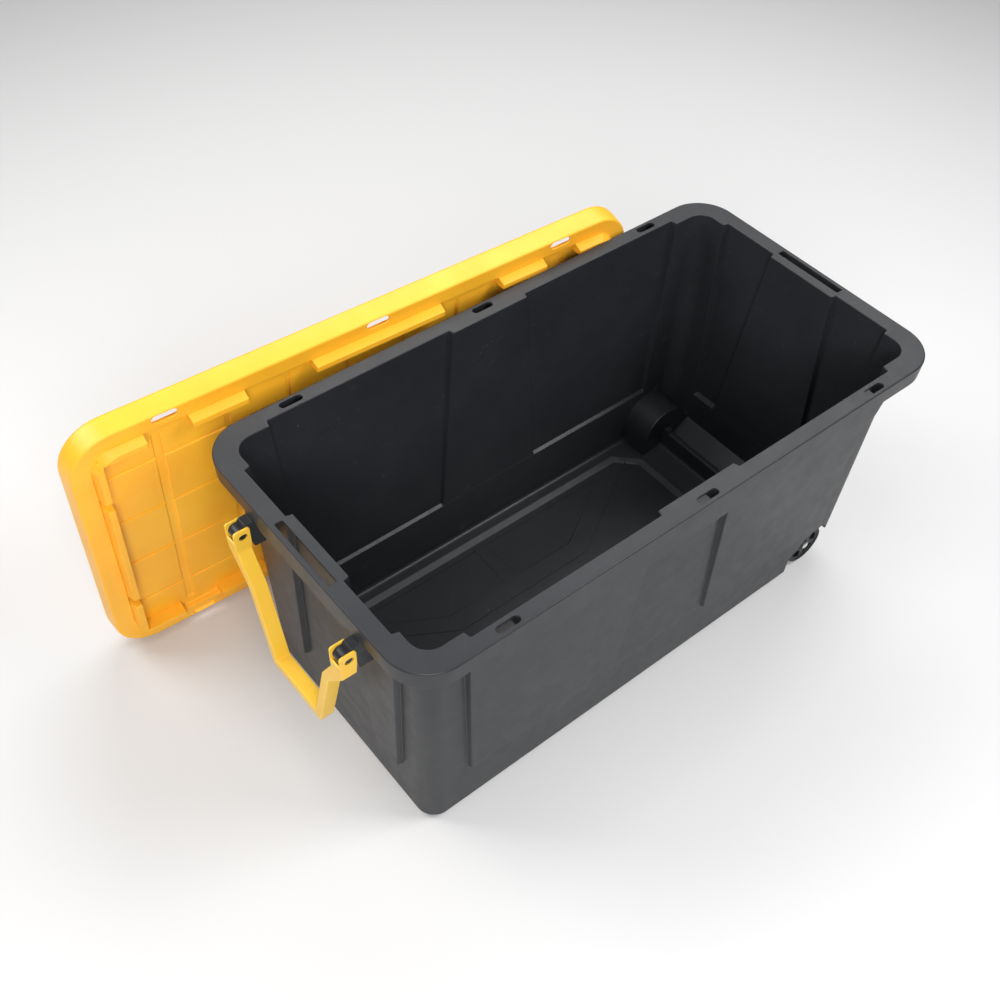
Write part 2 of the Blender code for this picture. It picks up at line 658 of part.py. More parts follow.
# ---------------------------------------------------------------- lid
def lid_shell():
    """The lid in its own frame: X along it, Y across it, +Z out of its underside."""
    rings = []
    for shrink, z in ((0.0045, 0.0), (0.0020, -0.0030), (0.0, -LID_HEIGHT + 0.0060),
                      (0.0020, -LID_HEIGHT + 0.0015), (0.0060, -LID_HEIGHT)):
        outline = rounded_rectangle(
            LID_HALF_LENGTH - shrink, LID_HALF_WIDTH - shrink, LID_CORNER - shrink)
        rings.append([(x, y, z) for x, y in outline])
    return loft("lid", rings, MATERIALS["yellow"])


def lid_blocks():
    """Locating blocks on the underside, as (low x, low y, high x, high y)."""
    thick = BLOCK_THICKNESS
    blocks = []
    for side in (-1, 1):
        low_y, high_y = sorted((side * LID_FIELD_Y, side * (LID_FIELD_Y - thick)))
        blocks.append((-0.125, low_y, 0.125, high_y))
        for end in (-1, 1):
            low_x, high_x = sorted((end * 0.245, end * 0.345))
            blocks.append((low_x, low_y, high_x, high_y))
    for end in (-1, 1):
        low_x, high_x = sorted((end * (LID_FIELD_X - thick), end * LID_FIELD_X))
        blocks.append((low_x, -0.126, high_x, 0.126))
    return blocks


def lid_corner_blocks():
    """Both arms of the L in each corner of the field."""
    thick = BLOCK_THICKNESS
    blocks = []
    for side in (-1, 1):
        for end in (-1, 1):
            low_y, high_y = sorted((side * LID_FIELD_Y, side * (LID_FIELD_Y - thick)))
            low_x, high_x = sorted((end * 0.420, end * LID_FIELD_X))
            blocks.append((low_x, low_y, high_x, high_y))
            low_y, high_y = sorted((side * 0.140, side * LID_FIELD_Y))
            low_x, high_x = sorted((end * (LID_FIELD_X - thick), end * LID_FIELD_X))
            blocks.append((low_x, low_y, high_x, high_y))
    return blocks


def field_outline(grow):
    return rounded_rectangle(LID_FIELD_X + grow, LID_FIELD_Y + grow, LID_FIELD_CORNER + grow)


def groove_boxes():
    """The grooves between the field's tiles, as (low x, low y, high x, high y)."""
    reach_x, reach_y = LID_FIELD_X - GROOVE_MARGIN, LID_FIELD_Y - GROOVE_MARGIN
    crossing = [(side * x, CROSS_GROOVE_HALF) for side in (-1, 1) for x in CROSS_GROOVES]
    crossing += [(side * END_GROOVES, END_GROOVE_HALF) for side in (-1, 1)]
    boxes = [(x - half, -reach_y, x + half, reach_y) for x, half in crossing]
    for side in (-1, 1):
        for y in LONG_GROOVES:
            middle = side * y
            boxes.append((-reach_x, middle - LONG_GROOVE_HALF, reach_x, middle + LONG_GROOVE_HALF))
    return boxes


def add_lid_grooves(lid):
    """Press the grooves into the sheet: a ridge on its top side, then the groove in that."""
    ridge_low, ridge_high = -LID_GROOVE_DEPTH - LID_WALL, -LID_FIELD_DEPTH - LID_WALL + 0.001
    low, high = -LID_GROOVE_DEPTH, -LID_FIELD_DEPTH + 0.001
    for i, (x0, y0, x1, y1) in enumerate(groove_boxes()):
        outline = box_outline(x0 - LID_WALL, y0 - LID_WALL, x1 + LID_WALL, y1 + LID_WALL)
        combine(lid, prism(f"lid_ridge_{i + 1}", outline, "Z", ridge_low, ridge_high), "UNION")
    for i, groove_box in enumerate(groove_boxes()):
        outline = box_outline(*groove_box)
        combine(lid, prism(f"lid_groove_{i + 1}", outline, "Z", low, high), "DIFFERENCE")


def add_lid_blocks(lid):
    low = -LID_FIELD_DEPTH - 0.001
    for i, block_box in enumerate(lid_blocks()):
        block = prism(f"lid_block_{i + 1}", box_outline(*block_box), "Z", low, BLOCK_HEIGHT)
        combine(lid, block, "UNION")
    for i, block_box in enumerate(lid_corner_blocks()):
        block = prism(f"lid_corner_{i + 1}", box_outline(*block_box), "Z", low, BLOCK_HEIGHT)
        trim = prism(f"lid_corner_trim_{i + 1}", field_outline(0.002), "Z", -0.05, 0.05)
        combine(block, trim, "INTERSECT")
        combine(lid, block, "UNION")


def cut_lid_slots(lid):
    for row, y in (("lower", -LID_SLOT_Y), ("upper", LID_SLOT_Y)):
        for column, x in (("left", -SLOT_X), ("middle", 0.0), ("right", SLOT_X)):
            outline = obround(x, y, SLOT_HALF_LENGTH, SLOT_HALF_WIDTH)
            slot = prism(f"lid_slot_{row}_{column}", outline, "Z", -0.02, 0.01)
            combine(lid, slot, "DIFFERENCE")


def cut_lid_back(lid):
    """Leave a thin sheet: seen from its top, the lid is a tray with an upright edge."""
    tray = rounded_rectangle(
        LID_HALF_LENGTH - LID_EDGE_WALL, LID_HALF_WIDTH - LID_EDGE_WALL, LID_CORNER - LID_EDGE_WALL)
    tray_floor = -LID_FIELD_DEPTH - LID_WALL
    combine(lid, prism("lid_tray", tray, "Z", -LID_HEIGHT - 0.01, tray_floor), "DIFFERENCE")
    gutter = prism("lid_gutter", tray, "Z", tray_floor - 0.002, -LID_WALL)
    middle = prism("lid_middle", field_outline(LID_WALL), "Z", -0.05, 0.01)
    combine(gutter, middle, "DIFFERENCE")
    combine(lid, gutter, "DIFFERENCE")


def make_lid():
    lid = lid_shell()
    field = prism("lid_field", field_outline(0.0), "Z", -LID_FIELD_DEPTH, 0.002)
    combine(lid, field, "DIFFERENCE")
    cut_lid_back(lid)
    add_lid_grooves(lid)
    add_lid_blocks(lid)
    cut_lid_slots(lid)


def lean_lid():
    """Stand the lid, with everything that shapes it, on its long edge against the rim."""
    across = LID_LONG_AXIS.normalized()
    up = (LID_UP_AXIS - across * LID_UP_AXIS.dot(across)).normalized()
    out = across.cross(up)
    pose = Matrix((across, up, out)).transposed().to_4x4()
    pose.translation = LID_ORIGIN
    holder = bpy.data.objects.new("lid_pose", None)
    bpy.context.scene.collection.objects.link(holder)
    holder.matrix_world = pose
    for item in list(bpy.data.objects):
        if item.type == "MESH" and item.name.startswith("lid"):
            item.parent = holder


# ---------------------------------------------------------------- assemble
clear_scene()
MATERIALS = {
    "tub": material("black_moulding", (0.030, 0.032, 0.034), 0.45),
    "yellow": material("yellow_moulding", (0.95, 0.52, 0.05), 0.45),
    "wheel": material("wheel_moulding", (0.025, 0.026, 0.028), 0.50),
    "steel": material("zinc_steel", (0.75, 0.76, 0.78), 0.30, 1.0),
}
make_tub()
make_axle()
for end_name, y_side in (("front", -1), ("back", 1)):
    make_wheel(f"wheel_{end_name}", y_side)
    make_axle_cap(end_name, y_side)
    make_washer(end_name, y_side)
make_handle()
make_pins()
make_lid()
lean_lid()
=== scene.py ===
"""Wheeled deck storage box: fine surfaces, finishes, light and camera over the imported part.

Frame: metres, +Z up.  +X is the wheel end, -X the handle end, -Y the front long side, and
+Y the side that the lid leans on.  The origin is on the ground under the middle of the tub.
"""

import json
import math

import bmesh
import bpy
from mathutils import Matrix, Vector

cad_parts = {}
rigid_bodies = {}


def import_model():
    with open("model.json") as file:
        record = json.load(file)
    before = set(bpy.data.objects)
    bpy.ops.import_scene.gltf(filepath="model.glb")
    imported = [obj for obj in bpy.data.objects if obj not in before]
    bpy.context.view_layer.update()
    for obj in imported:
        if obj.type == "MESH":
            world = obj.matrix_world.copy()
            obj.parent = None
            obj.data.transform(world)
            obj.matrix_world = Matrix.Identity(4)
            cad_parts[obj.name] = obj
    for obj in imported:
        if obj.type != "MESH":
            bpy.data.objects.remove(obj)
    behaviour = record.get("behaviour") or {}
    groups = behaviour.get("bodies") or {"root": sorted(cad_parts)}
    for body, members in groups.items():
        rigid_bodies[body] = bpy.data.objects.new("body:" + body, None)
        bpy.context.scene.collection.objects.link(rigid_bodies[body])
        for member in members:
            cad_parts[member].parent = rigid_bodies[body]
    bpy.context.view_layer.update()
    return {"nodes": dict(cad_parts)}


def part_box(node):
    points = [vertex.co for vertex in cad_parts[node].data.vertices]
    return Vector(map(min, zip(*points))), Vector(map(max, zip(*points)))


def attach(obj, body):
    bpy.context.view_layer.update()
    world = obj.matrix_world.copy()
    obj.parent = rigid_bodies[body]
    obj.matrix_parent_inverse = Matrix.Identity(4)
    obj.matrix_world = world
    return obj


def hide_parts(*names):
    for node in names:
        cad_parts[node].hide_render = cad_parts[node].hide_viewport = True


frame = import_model()
NODES = frame["nodes"]
_, tub_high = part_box("tub")

# ---------------------------------------------------------------- driving dimensions: tub
HALF_LENGTH = tub_high.x           # over the rim
HALF_WIDTH = tub_high.y
HEIGHT = tub_high.z
WALL = 0.003
RIM_THICKNESS = 0.003
RIM_CORNER = 0.072
RIM_EDGE = 0.0028                  # radius of the rim's outer top edge
LIP = 0.0017                       # radius of its inner top edge
SKIRT_EDGE = 0.0012
SKIRT_DRAFT = 0.0014               # how much the skirt draws in towards its lower edge
WALL_CORNER = 0.034
STEP = 0.0015                      # half the width of the slope between two wall bays
EASE = 0.00135                     # how far a bay step's corners are rounded

# Walls: (inset of the outer surface from the rim edge, draft per metre of depth).
LONG_POST = (0.0369, 0.0274)
LONG_PANEL = (0.0246, 0.0410)
LONG_CENTRE = (0.0342, 0.0300)
END_POST = (0.0380, 0.0336)
END_PANEL = (0.0273, 0.0358)
END_CENTRE = (0.0375, 0.0336)
# Where one bay meets the next: (distance from the middle at the rim, change per metre).
LONG_POST_EDGE = (0.4341, -0.0608)
LONG_CENTRE_EDGE = (0.0806, 0.0785)
END_POST_EDGE = (0.1868, -0.0653)
END_CENTRE_EDGE = (0.0722, 0.0874)

FLOOR_TOP = 0.009
FLOOR_BOTTOM = 0.006
TOE_RADIUS = 0.0095
BASE_RADIUS = 0.0075

SKIRT_CORNER = 0.0345              # depth of the skirt at the corners
SKIRT_LONG = 0.0595                # in the middle of a long side
SKIRT_END = 0.0460                 # in the middle of an end
SKIRT_LONG_RAMP = (0.3915, 0.4065)   # where it changes, as distances from the middle
SKIRT_END_RAMP = (0.1000, 0.1300)

SLOT_X, SLOT_Y = 0.3805, 0.2677
SLOT_HALF_LENGTH, SLOT_HALF_WIDTH = 0.0203, 0.0062
SLOT_RIB_OFFSET, SLOT_RIB_HALF, SLOT_RIB_DEPTH = 0.0230, 0.0011, 0.0300
END_SLOT_X, END_SLOT_HALF_WIDTH, END_SLOT_HALF_LENGTH = 0.5281, 0.0066, 0.0690
END_SLOT_CORNER = 0.0018
SLOT_FLARE = 0.0010

PAN_TOP = 0.003
PAN_LEFT, PAN_RIGHT, PAN_HALF_WIDTH = -0.462, 0.357, 0.203
PAN_CHAMFER = 0.045
PAN_SLOPE = 0.0112
OCTAGON_SHORTENING = 2 - math.sqrt(2)   # loss of a chamfer's leg for each unit of inset

# ---------------------------------------------------------------- wheel end
AXLE_X, AXLE_Z = 0.4235, 0.047
AXLE_BORE = 0.0044
WHEEL_RADIUS = 0.043
WHEEL_FACE_Y, WHEEL_INNER_Y = 0.2238, 0.1838
RING_RADIUS = 0.0362
HUB_INNER_Y, HUB_RADIUS = 0.1690, 0.0110
HUB_SINK, WEB_SINK, WEB_BACK_SINK = 0.0006, 0.0030, 0.0110   # below the wheel's outer face
WHEEL_FACE_ROUND, WHEEL_INNER_ROUND = 0.0038, 0.0022
WINDOW_RADII = (0.0165, 0.0320)
SPOKES = 5
HOUSING_RADIUS, HOUSING_FACE_Y = 0.0585, 0.164
HOUSING_LEFT_X, HOUSING_SHELF_Z = 0.365, 0.063
WELL_OUTER_Y = 0.2275
RIDGE_HALF_WIDTH = 0.1680
TUNNEL_BOSS_INNER_Y = 0.1500
TUNNEL_BOSS = (0.4165, 0.0300, 0.4305, 0.0610)   # low x, low z, high x, high z
END_SLOPE = 0.622

# ---------------------------------------------------------------- handle
PIVOT_X, PIVOT_Z, CLEVIS_Y = -0.5612, 0.4557, 0.1375
LUG_HALF_WIDTH = 0.0102
LUG_BARREL = 0.0118
CHEEK_INNER, CHEEK_OUTER = 0.0106, 0.0138
PIN_BORE = 0.0053
HANDLE_FRONT_X, HANDLE_BACK_X = -0.5755, -0.5505

# ---------------------------------------------------------------- lid, in its own frame
LID_HALF_LENGTH, LID_HALF_WIDTH, LID_CORNER = 0.5455, 0.2795, 0.0795
LID_HEIGHT = 0.042
LID_FIELD_X, LID_FIELD_Y, LID_FIELD_CORNER = 0.5070, 0.2460, 0.045
LID_FIELD_DEPTH, LID_GROOVE_DEPTH = 0.0110, 0.0146
LID_WALL = 0.003
LID_SLOT_Y, LID_SLOT_WIDER = 0.2655, 0.0012
CROSS_GROOVES = (0.0550, 0.1650, 0.2770)
END_GROOVES = 0.3970
LONG_GROOVES = (0.0570, 0.1710)
CROSS_GROOVE_HALF, END_GROOVE_HALF, LONG_GROOVE_HALF = 0.0046, 0.0072, 0.0034
BLOCK_HEIGHT, BLOCK_THICKNESS = 0.0145, 0.0160
BLOCK_LEAN = 0.0052                # the blocks' outer faces lean in by this much
BLOCK_OVERLAP = 0.0006             # how far a block's foot goes into the field's wall
BLOCK_END_GAP = 0.0120             # from a corner block's end to the field's wall
SIDE_BLOCK_SPANS = ((-0.1255, 0.1255), (-0.3450, -0.2470), (0.2470, 0.3450))
END_BLOCK_HALF_LENGTH = 0.1260
CORNER_BLOCK_X, CORNER_BLOCK_Y = 0.4180, 0.1440   # where a corner block's two arms stop
GROOVE_MARGIN = 0.018              # from a groove's end to the edge of the field
LID_SLOT_DEPTH = 0.008
LID_ORIGIN = Vector((-0.1798, 0.3360, 0.2788))
LID_LONG_AXIS = Vector((0.99922, -0.03954, -0.00025))
LID_UP_AXIS = Vector((-0.00308, -0.08430, 0.99644))

CORNER_STEPS = 16
EASE_STEPS = 4


# ---------------------------------------------------------------- shader helpers
class Shader:
    """A material's node tree, with short calls for the nodes that the finishes share."""

    def __init__(self, name, colour, roughness, metallic=0.0):
        self.material = bpy.data.materials.new(name)
        self.material.use_nodes = True
        self.nodes = self.material.node_tree.nodes
        self.links = self.material.node_tree.links
        self.bsdf = self.nodes["Principled BSDF"]
        self.bsdf.inputs["Base Color"].default_value = (*colour, 1.0)
        self.bsdf.inputs["Roughness"].default_value = roughness
        self.bsdf.inputs["Metallic"].default_value = metallic
        self.place = self.nodes.new("ShaderNodeTexCoord").outputs["Object"]
        self.normal = None

    def stretched(self, scale, turn=(0.0, 0.0, 0.0)):
        """Object coordinates, scaled by a vector after a turn."""
        mapping = self.nodes.new("ShaderNodeMapping")
        mapping.inputs["Rotation"].default_value = turn
        mapping.inputs["Scale"].default_value = scale
        self.links.new(self.place, mapping.inputs["Vector"])
        return mapping.outputs["Vector"]

    def noise(self, scale, detail=3.0, vector=None, roughness=0.55):
        node = self.nodes.new("ShaderNodeTexNoise")
        node.inputs["Scale"].default_value = scale
        node.inputs["Detail"].default_value = detail
        node.inputs["Roughness"].default_value = roughness
        self.links.new(vector or self.place, node.inputs["Vector"])
        return node.outputs["Fac"]

    def spread(self, value, low, high, new_low, new_high):
        node = self.nodes.new("ShaderNodeMapRange")
        for name, number in (("From Min", low), ("From Max", high),
                             ("To Min", new_low), ("To Max", new_high)):
            node.inputs[name].default_value = number
        self.links.new(value, node.inputs["Value"])
        return node.outputs["Result"]

    def product(self, a, b):
        node = self.nodes.new("ShaderNodeMath")
        node.operation = "MULTIPLY"
        self.links.new(a, node.inputs[0])
        self.links.new(b, node.inputs[1])
        return node.outputs["Value"]

    def blend(self, factor, first, second):
        """Mix two colours; the first may be the output of an earlier blend."""
        node = self.nodes.new("ShaderNodeMix")
        node.data_type = "RGBA"
        self.links.new(factor, node.inputs["Factor"])
        for socket, colour in ((node.inputs["A"], first), (node.inputs["B"], second)):
            if isinstance(colour, tuple):
                socket.default_value = (*colour, 1.0)
            else:
                self.links.new(colour, socket)
        return node.outputs["Result"]

    def bump(self, height, strength, distance):
        node = self.nodes.new("ShaderNodeBump")
        node.inputs["Strength"].default_value = strength
        node.inputs["Distance"].default_value = distance
        self.links.new(height, node.inputs["Height"])
        if self.normal:
            self.links.new(self.normal, node.inputs["Normal"])
        self.normal = node.outputs["Normal"]

    def connect(self, colour=None, roughness=None):
        if colour:
            self.links.new(colour, self.bsdf.inputs["Base Color"])
        if roughness:
            self.links.new(roughness, self.bsdf.inputs["Roughness"])
        if self.normal:
            self.links.new(self.normal, self.bsdf.inputs["Normal"])
        return self.material


def black_plastic(name, base, scuffed, roughness):
    """Satin black moulding: fine grain, mottled sheen, faint scuffs and pale dust specks."""
    shader = Shader(name, base, roughness)
    shader.bsdf.inputs["Specular IOR Level"].default_value = 0.33
    clouds = shader.noise(7.0, 4.0)
    mottle = shader.noise(34.0, 3.0)
    scratches = shader.noise(1.0, 2.0, shader.stretched((30.0, 900.0, 60.0), (0.0, 0.0, 0.5)))
    specks = shader.noise(420.0, 1.0)
    colour = shader.blend(shader.spread(clouds, 0.35, 0.70, 0.0, 1.0), base, scuffed)
    speck_mask = shader.product(
        shader.spread(specks, 0.755, 0.79, 0.0, 1.0), shader.spread(clouds, 0.45, 0.6, 0.0, 1.0))
    colour = shader.blend(speck_mask, colour, (0.16, 0.17, 0.18))
    scratch_mask = shader.spread(scratches, 0.70, 0.78, 0.0, 0.10)
    colour = shader.blend(scratch_mask, colour, (0.20, 0.21, 0.22))
    shader.bump(shader.noise(1300.0, 2.0), 0.16, 0.0004)
    shader.bump(shader.noise(5.0, 2.0), 0.08, 0.010)
    colour = shader.blend(shader.spread(mottle, 0.45, 0.75, 0.0, 0.30), colour, scuffed)
    satin = shader.spread(mottle, 0.3, 0.7, roughness - 0.03, roughness + 0.04)
    return shader.connect(colour, satin)


def yellow_plastic(name, base, deep, roughness):
    """Satin yellow moulding with soft flow marks and slightly uneven pigment."""
    shader = Shader(name, base, roughness)
    shader.bsdf.inputs["Subsurface Weight"].default_value = 0.10
    shader.bsdf.inputs["Subsurface Radius"].default_value = (0.006, 0.003, 0.001)
    clouds = shader.noise(9.0, 5.0)
    flow = shader.noise(1.0, 3.0, shader.stretched((5.0, 5.0, 16.0)))
    colour = shader.blend(shader.spread(clouds, 0.35, 0.70, 0.0, 0.8), base, deep)
    colour = shader.blend(shader.spread(flow, 0.52, 0.75, 0.0, 0.35), colour, deep)
    shader.bump(shader.noise(900.0, 2.0), 0.10, 0.0004)
    shader.bump(shader.noise(11.0, 2.0), 0.18, 0.006)
    return shader.connect(colour, shader.spread(clouds, 0.3, 0.7, roughness - 0.04, roughness + 0.08))


def zinc(name):
    """Bright plated steel with fine wear."""
    shader = Shader(name, (0.78, 0.79, 0.80), 0.30, 1.0)
    wear = shader.noise(160.0, 4.0)
    colour = shader.blend(shader.spread(wear, 0.4, 0.7, 0.0, 1.0), (0.80, 0.81, 0.82), (0.52, 0.53, 0.54))
    shader.bump(shader.noise(600.0, 3.0), 0.12, 0.0005)
    return shader.connect(colour, shader.spread(wear, 0.35, 0.7, 0.22, 0.42))


FINISH = {
    "black_moulding": black_plastic(
        "black_moulding", (0.0175, 0.0190, 0.0220), (0.0220, 0.0240, 0.0272), 0.38),
    "wheel_moulding": black_plastic("wheel_moulding", (0.0100, 0.0106, 0.0115), (0.017, 0.018, 0.020), 0.46),
    "black_pin": black_plastic("black_pin", (0.0080, 0.0086, 0.0095), (0.013, 0.014, 0.015), 0.34),
    "yellow_lid": yellow_plastic("yellow_lid", (1.0, 0.500, 0.028), (0.97, 0.420, 0.018), 0.40),
    "yellow_handle": yellow_plastic("yellow_handle", (0.90, 0.565, 0.055), (0.86, 0.490, 0.036), 0.36),
    "zinc_steel": zinc("zinc_steel"),
}


# ---------------------------------------------------------------- mesh helpers
def object_from(name, bm):
    bmesh.ops.recalc_face_normals(bm, faces=bm.faces)
    mesh = bpy.data.meshes.new(name)
    bm.to_mesh(mesh)
    bm.free()
    item = bpy.data.objects.new(name, mesh)
    bpy.context.scene.collection.objects.link(item)
    return item


def loft(name, rings):
    """A closed solid through rings of equally many points, with flat ends."""
    bm = bmesh.new()
    loops = [[bm.verts.new(point) for point in ring] for ring in rings]
    count = len(loops[0])
    for lower, upper in zip(loops, loops[1:]):
        for i in range(count):
            j = (i + 1) % count
            bm.faces.new((lower[i], lower[j], upper[j], upper[i]))
    bm.faces.new(loops[0])
    bm.faces.new(loops[-1])
    return object_from(name, bm)


def prism(name, outline, axis, low, high, bevel=0.0, segments=3, angle=30):
    """Extrude a flat outline along X, Y or Z, and round its edges if asked."""
    place = {
        "X": lambda a, b, c: (c, a, b),
        "Y": lambda a, b, c: (a, c, b),
        "Z": lambda a, b, c: (a, b, c),
    }[axis]
    item = loft(name, [[place(a, b, level) for a, b in outline] for level in (low, high)])
    if bevel:
        round_edges(item, bevel, segments, angle)
    return item


def round_edges(item, width, segments=3, angle=30):
    bevel = item.modifiers.new("rounded edges", "BEVEL")
    bevel.width = width
    bevel.segments = segments
    bevel.limit_method = "ANGLE"
    bevel.angle_limit = math.radians(angle)
    bevel.use_clamp_overlap = True


def combine(target, tool, operation):
    modifier = target.modifiers.new(f"{operation.lower()} {tool.name}", "BOOLEAN")
    modifier.operation = operation
    modifier.solver = "EXACT"
    modifier.object = tool
    tool.hide_render = True


def settle(item, name, tools):
    """Bake the modifiers into one mesh, remove the cutters and shade it smooth."""
    bpy.context.view_layer.update()
    evaluated = item.evaluated_get(bpy.context.evaluated_depsgraph_get())
    mesh = bpy.data.meshes.new_from_object(evaluated)
    item.modifiers.clear()
    item.data = mesh
    item.name = name
    mesh.name = name
    for tool in tools:
        bpy.data.objects.remove(tool)
    mesh.shade_smooth()
    mesh.set_sharp_from_angle(angle=math.radians(38))
    weighted = item.modifiers.new("weighted normals", "WEIGHTED_NORMAL")
    weighted.keep_sharp = True
    return item


def tools_since(before, item):
    return [other for other in bpy.data.objects if other not in before and other != item]


def dress(item, slot, body, *replaced):
    item.data.materials.clear()
    item.data.materials.append(FINISH[slot])
    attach(item, body)
    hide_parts(*replaced)


def circle(cx, cz, radius, count):
    return [
        (cx + radius * math.cos(2 * math.pi * i / count),
         cz + radius * math.sin(2 * math.pi * i / count))
        for i in range(count)
    ]


def arc(cx, cz, radius, start, end, count):
    """Points on an arc, both ends included, angles in degrees."""
    points = []
    for i in range(count + 1):
        angle = math.radians(start + (end - start) * i / count)
        points.append((cx + radius * math.cos(angle), cz + radius * math.sin(angle)))
    return points


def obround(cx, cy, half_length, half_width, steps=10):
    straight = half_length - half_width
    points = arc(straight, 0, half_width, -90, 90, steps)
    points += arc(-straight, 0, half_width, 90, 270, steps)
    return [(cx + a, cy + b) for a, b in points]


def rounded_rectangle(half_x, half_y, radius, steps=CORNER_STEPS):
    points = []
    for sx, sy, start in ((1, 1, 0), (-1, 1, 90), (-1, -1, 180), (1, -1, 270)):
        cx, cy = sx * (half_x - radius), sy * (half_y - radius)
        points += arc(cx, cy, radius, start, start + 90, steps)
    return points


def box_outline(low_a, low_b, high_a, high_b):
    return [(low_a, low_b), (high_a, low_b), (high_a, high_b), (low_a, high_b)]


def soft_box(low_a, low_b, high_a, high_b, radius, steps=4):
    """A rectangle with rounded corners, given by its low and high corners."""
    half_a, half_b = (high_a - low_a) / 2, (high_b - low_b) / 2
    outline = rounded_rectangle(half_a, half_b, radius, steps)
    return [(a + low_a + half_a, b + low_b + half_b) for a, b in outline]


def eased(points, steps=EASE_STEPS):
    """Round the corners of a path: each point is (x, y, how far its corner is rounded)."""
    path = []
    for i, (x, y, setback) in enumerate(points):
        if not setback:
            path.append((x, y))
            continue
        here = Vector((x, y))
        back = (Vector(points[i - 1][:2]) - here).normalized() * setback
        ahead = (Vector(points[i + 1][:2]) - here).normalized() * setback
        for k in range(steps + 1):
            t = k / steps
            spot = here + back * (1 - t) ** 2 + ahead * t ** 2
            path.append((spot.x, spot.y))
    return path


def smooth_share(value, low, high):
    share = min(max((value - low) / (high - low), 0.0), 1.0)
    return share * share * (3 - 2 * share)


# ---------------------------------------------------------------- the tub's outline
def at_depth(pair, depth):
    return pair[0] + pair[1] * depth


def stations(depth, spread):
    """Positions along the end (y) and the long side (x) that every ring shares."""
    end_centre = at_depth(END_CENTRE_EDGE, depth) - spread
    end_post = at_depth(END_POST_EDGE, depth) + spread
    long_post = at_depth(LONG_POST_EDGE, depth) + spread
    long_centre = at_depth(LONG_CENTRE_EDGE, depth) - spread
    panel_low, panel_high = end_centre + 2 * STEP, end_post - 2 * STEP
    along_panel = [panel_low + (panel_high - panel_low) * (0.12 + 0.055 * i) for i in range(10)]
    ys = [end_centre - STEP, end_centre + STEP, end_post - STEP, end_post + STEP]
    xs = [long_post + STEP, long_post - STEP, long_centre + STEP, long_centre - STEP]
    along_skirt = [long_post - 0.0262 - 0.0022 * i for i in range(9)]
    return xs, ys, along_panel, along_skirt


def quarter(end_lines, long_lines, depth, spread, corner_x, corner_y, radius):
    """One quarter of a ring; the lines are the centre, panel and post distances."""
    xs, ys, along_panel, along_skirt = stations(depth, spread)
    end_centre, end_panel, end_post = end_lines
    long_centre, long_panel, long_post = long_lines
    end = [(end_centre, 0.02, 0), (end_centre, ys[0], EASE), (end_panel, ys[1], EASE)]
    end += [(end_panel, y, 0) for y in along_panel]
    end += [(end_panel, ys[2], EASE), (end_post, ys[3], EASE), (end_post, ys[3] + 0.004, 0)]
    corner = arc(corner_x - radius, corner_y - radius, radius, 0, 90, CORNER_STEPS)
    side = [(xs[0] + 0.004, long_post, 0), (xs[0], long_post, EASE), (xs[1], long_panel, EASE)]
    side += [(x, long_panel, 0) for x in along_skirt]
    side += [(xs[2], long_panel, EASE), (xs[3], long_centre, EASE), (0.02, long_centre, 0)]
    return eased(end) + corner + eased(side)


def wall_ring(depth, shrink, z, panels=1.0):
    """The wall's outline at a depth below the rim; panels=0 is where they have died out."""
    post_x = HALF_LENGTH - at_depth(END_POST, depth) - shrink
    post_y = HALF_WIDTH - at_depth(LONG_POST, depth) - shrink
    panel_x = HALF_LENGTH - at_depth(END_PANEL, depth) - shrink
    panel_y = HALF_WIDTH - at_depth(LONG_PANEL, depth) - shrink
    centre_x = HALF_LENGTH - at_depth(END_CENTRE, depth) - shrink
    centre_y = HALF_WIDTH - at_depth(LONG_CENTRE, depth) - shrink
    end_lines = [post_x + panels * (x - post_x) for x in (centre_x, panel_x, post_x)]
    long_lines = [post_y + panels * (y - post_y) for y in (centre_y, panel_y, post_y)]
    points = quarter(
        end_lines, long_lines, depth, max(WALL - shrink, 0.0), post_x, post_y, WALL_CORNER - shrink)
    return [(x, y, z) for x, y in mirrored(points)]


def rim_outline(shrink):
    x, y = HALF_LENGTH - shrink, HALF_WIDTH - shrink
    return mirrored(quarter((x, x, x), (y, y, y), 0.0, 0.0, x, y, RIM_CORNER - shrink))


def mirrored(points):
    """Turn the points of the +X +Y quarter into a full ring, anticlockwise."""
    ring = list(points)
    ring += [(-x, y) for x, y in reversed(points)]
    ring += [(-x, -y) for x, y in points]
    ring += [(x, -y) for x, y in reversed(points)]
    return ring


def skirt_depth(x, y):
    """The skirt is deepest along the sides, and steps up smoothly before the corners."""
    if abs(y) > HALF_WIDTH - 2 * WALL:
        low, high = SKIRT_LONG_RAMP
        return SKIRT_LONG + (SKIRT_CORNER - SKIRT_LONG) * smooth_share(abs(x), low, high)
    if abs(x) > HALF_LENGTH - 2 * WALL:
        low, high = SKIRT_END_RAMP
        return SKIRT_END + (SKIRT_CORNER - SKIRT_END) * smooth_share(abs(y), low, high)
    return SKIRT_CORNER


def rim_ring(shrink, lift):
    """A ring of the skirt's lower edge, lifted by a distance from its bottom."""
    return [(x, y, HEIGHT - skirt_depth(x, y) + lift) for x, y in rim_outline(shrink)]


def flat_rim_ring(shrink, drop):
    return [(x, y, HEIGHT - drop) for x, y in rim_outline(shrink)]


def quarter_turn(radius, steps):
    """Pairs (inset, rise) round a fillet, from full inset at no rise to full rise."""
    pairs = []
    for i in range(steps + 1):
        angle = math.pi / 2 * i / steps
        pairs.append((radius * (1 - math.sin(angle)), radius * (1 - math.cos(angle))))
    return pairs


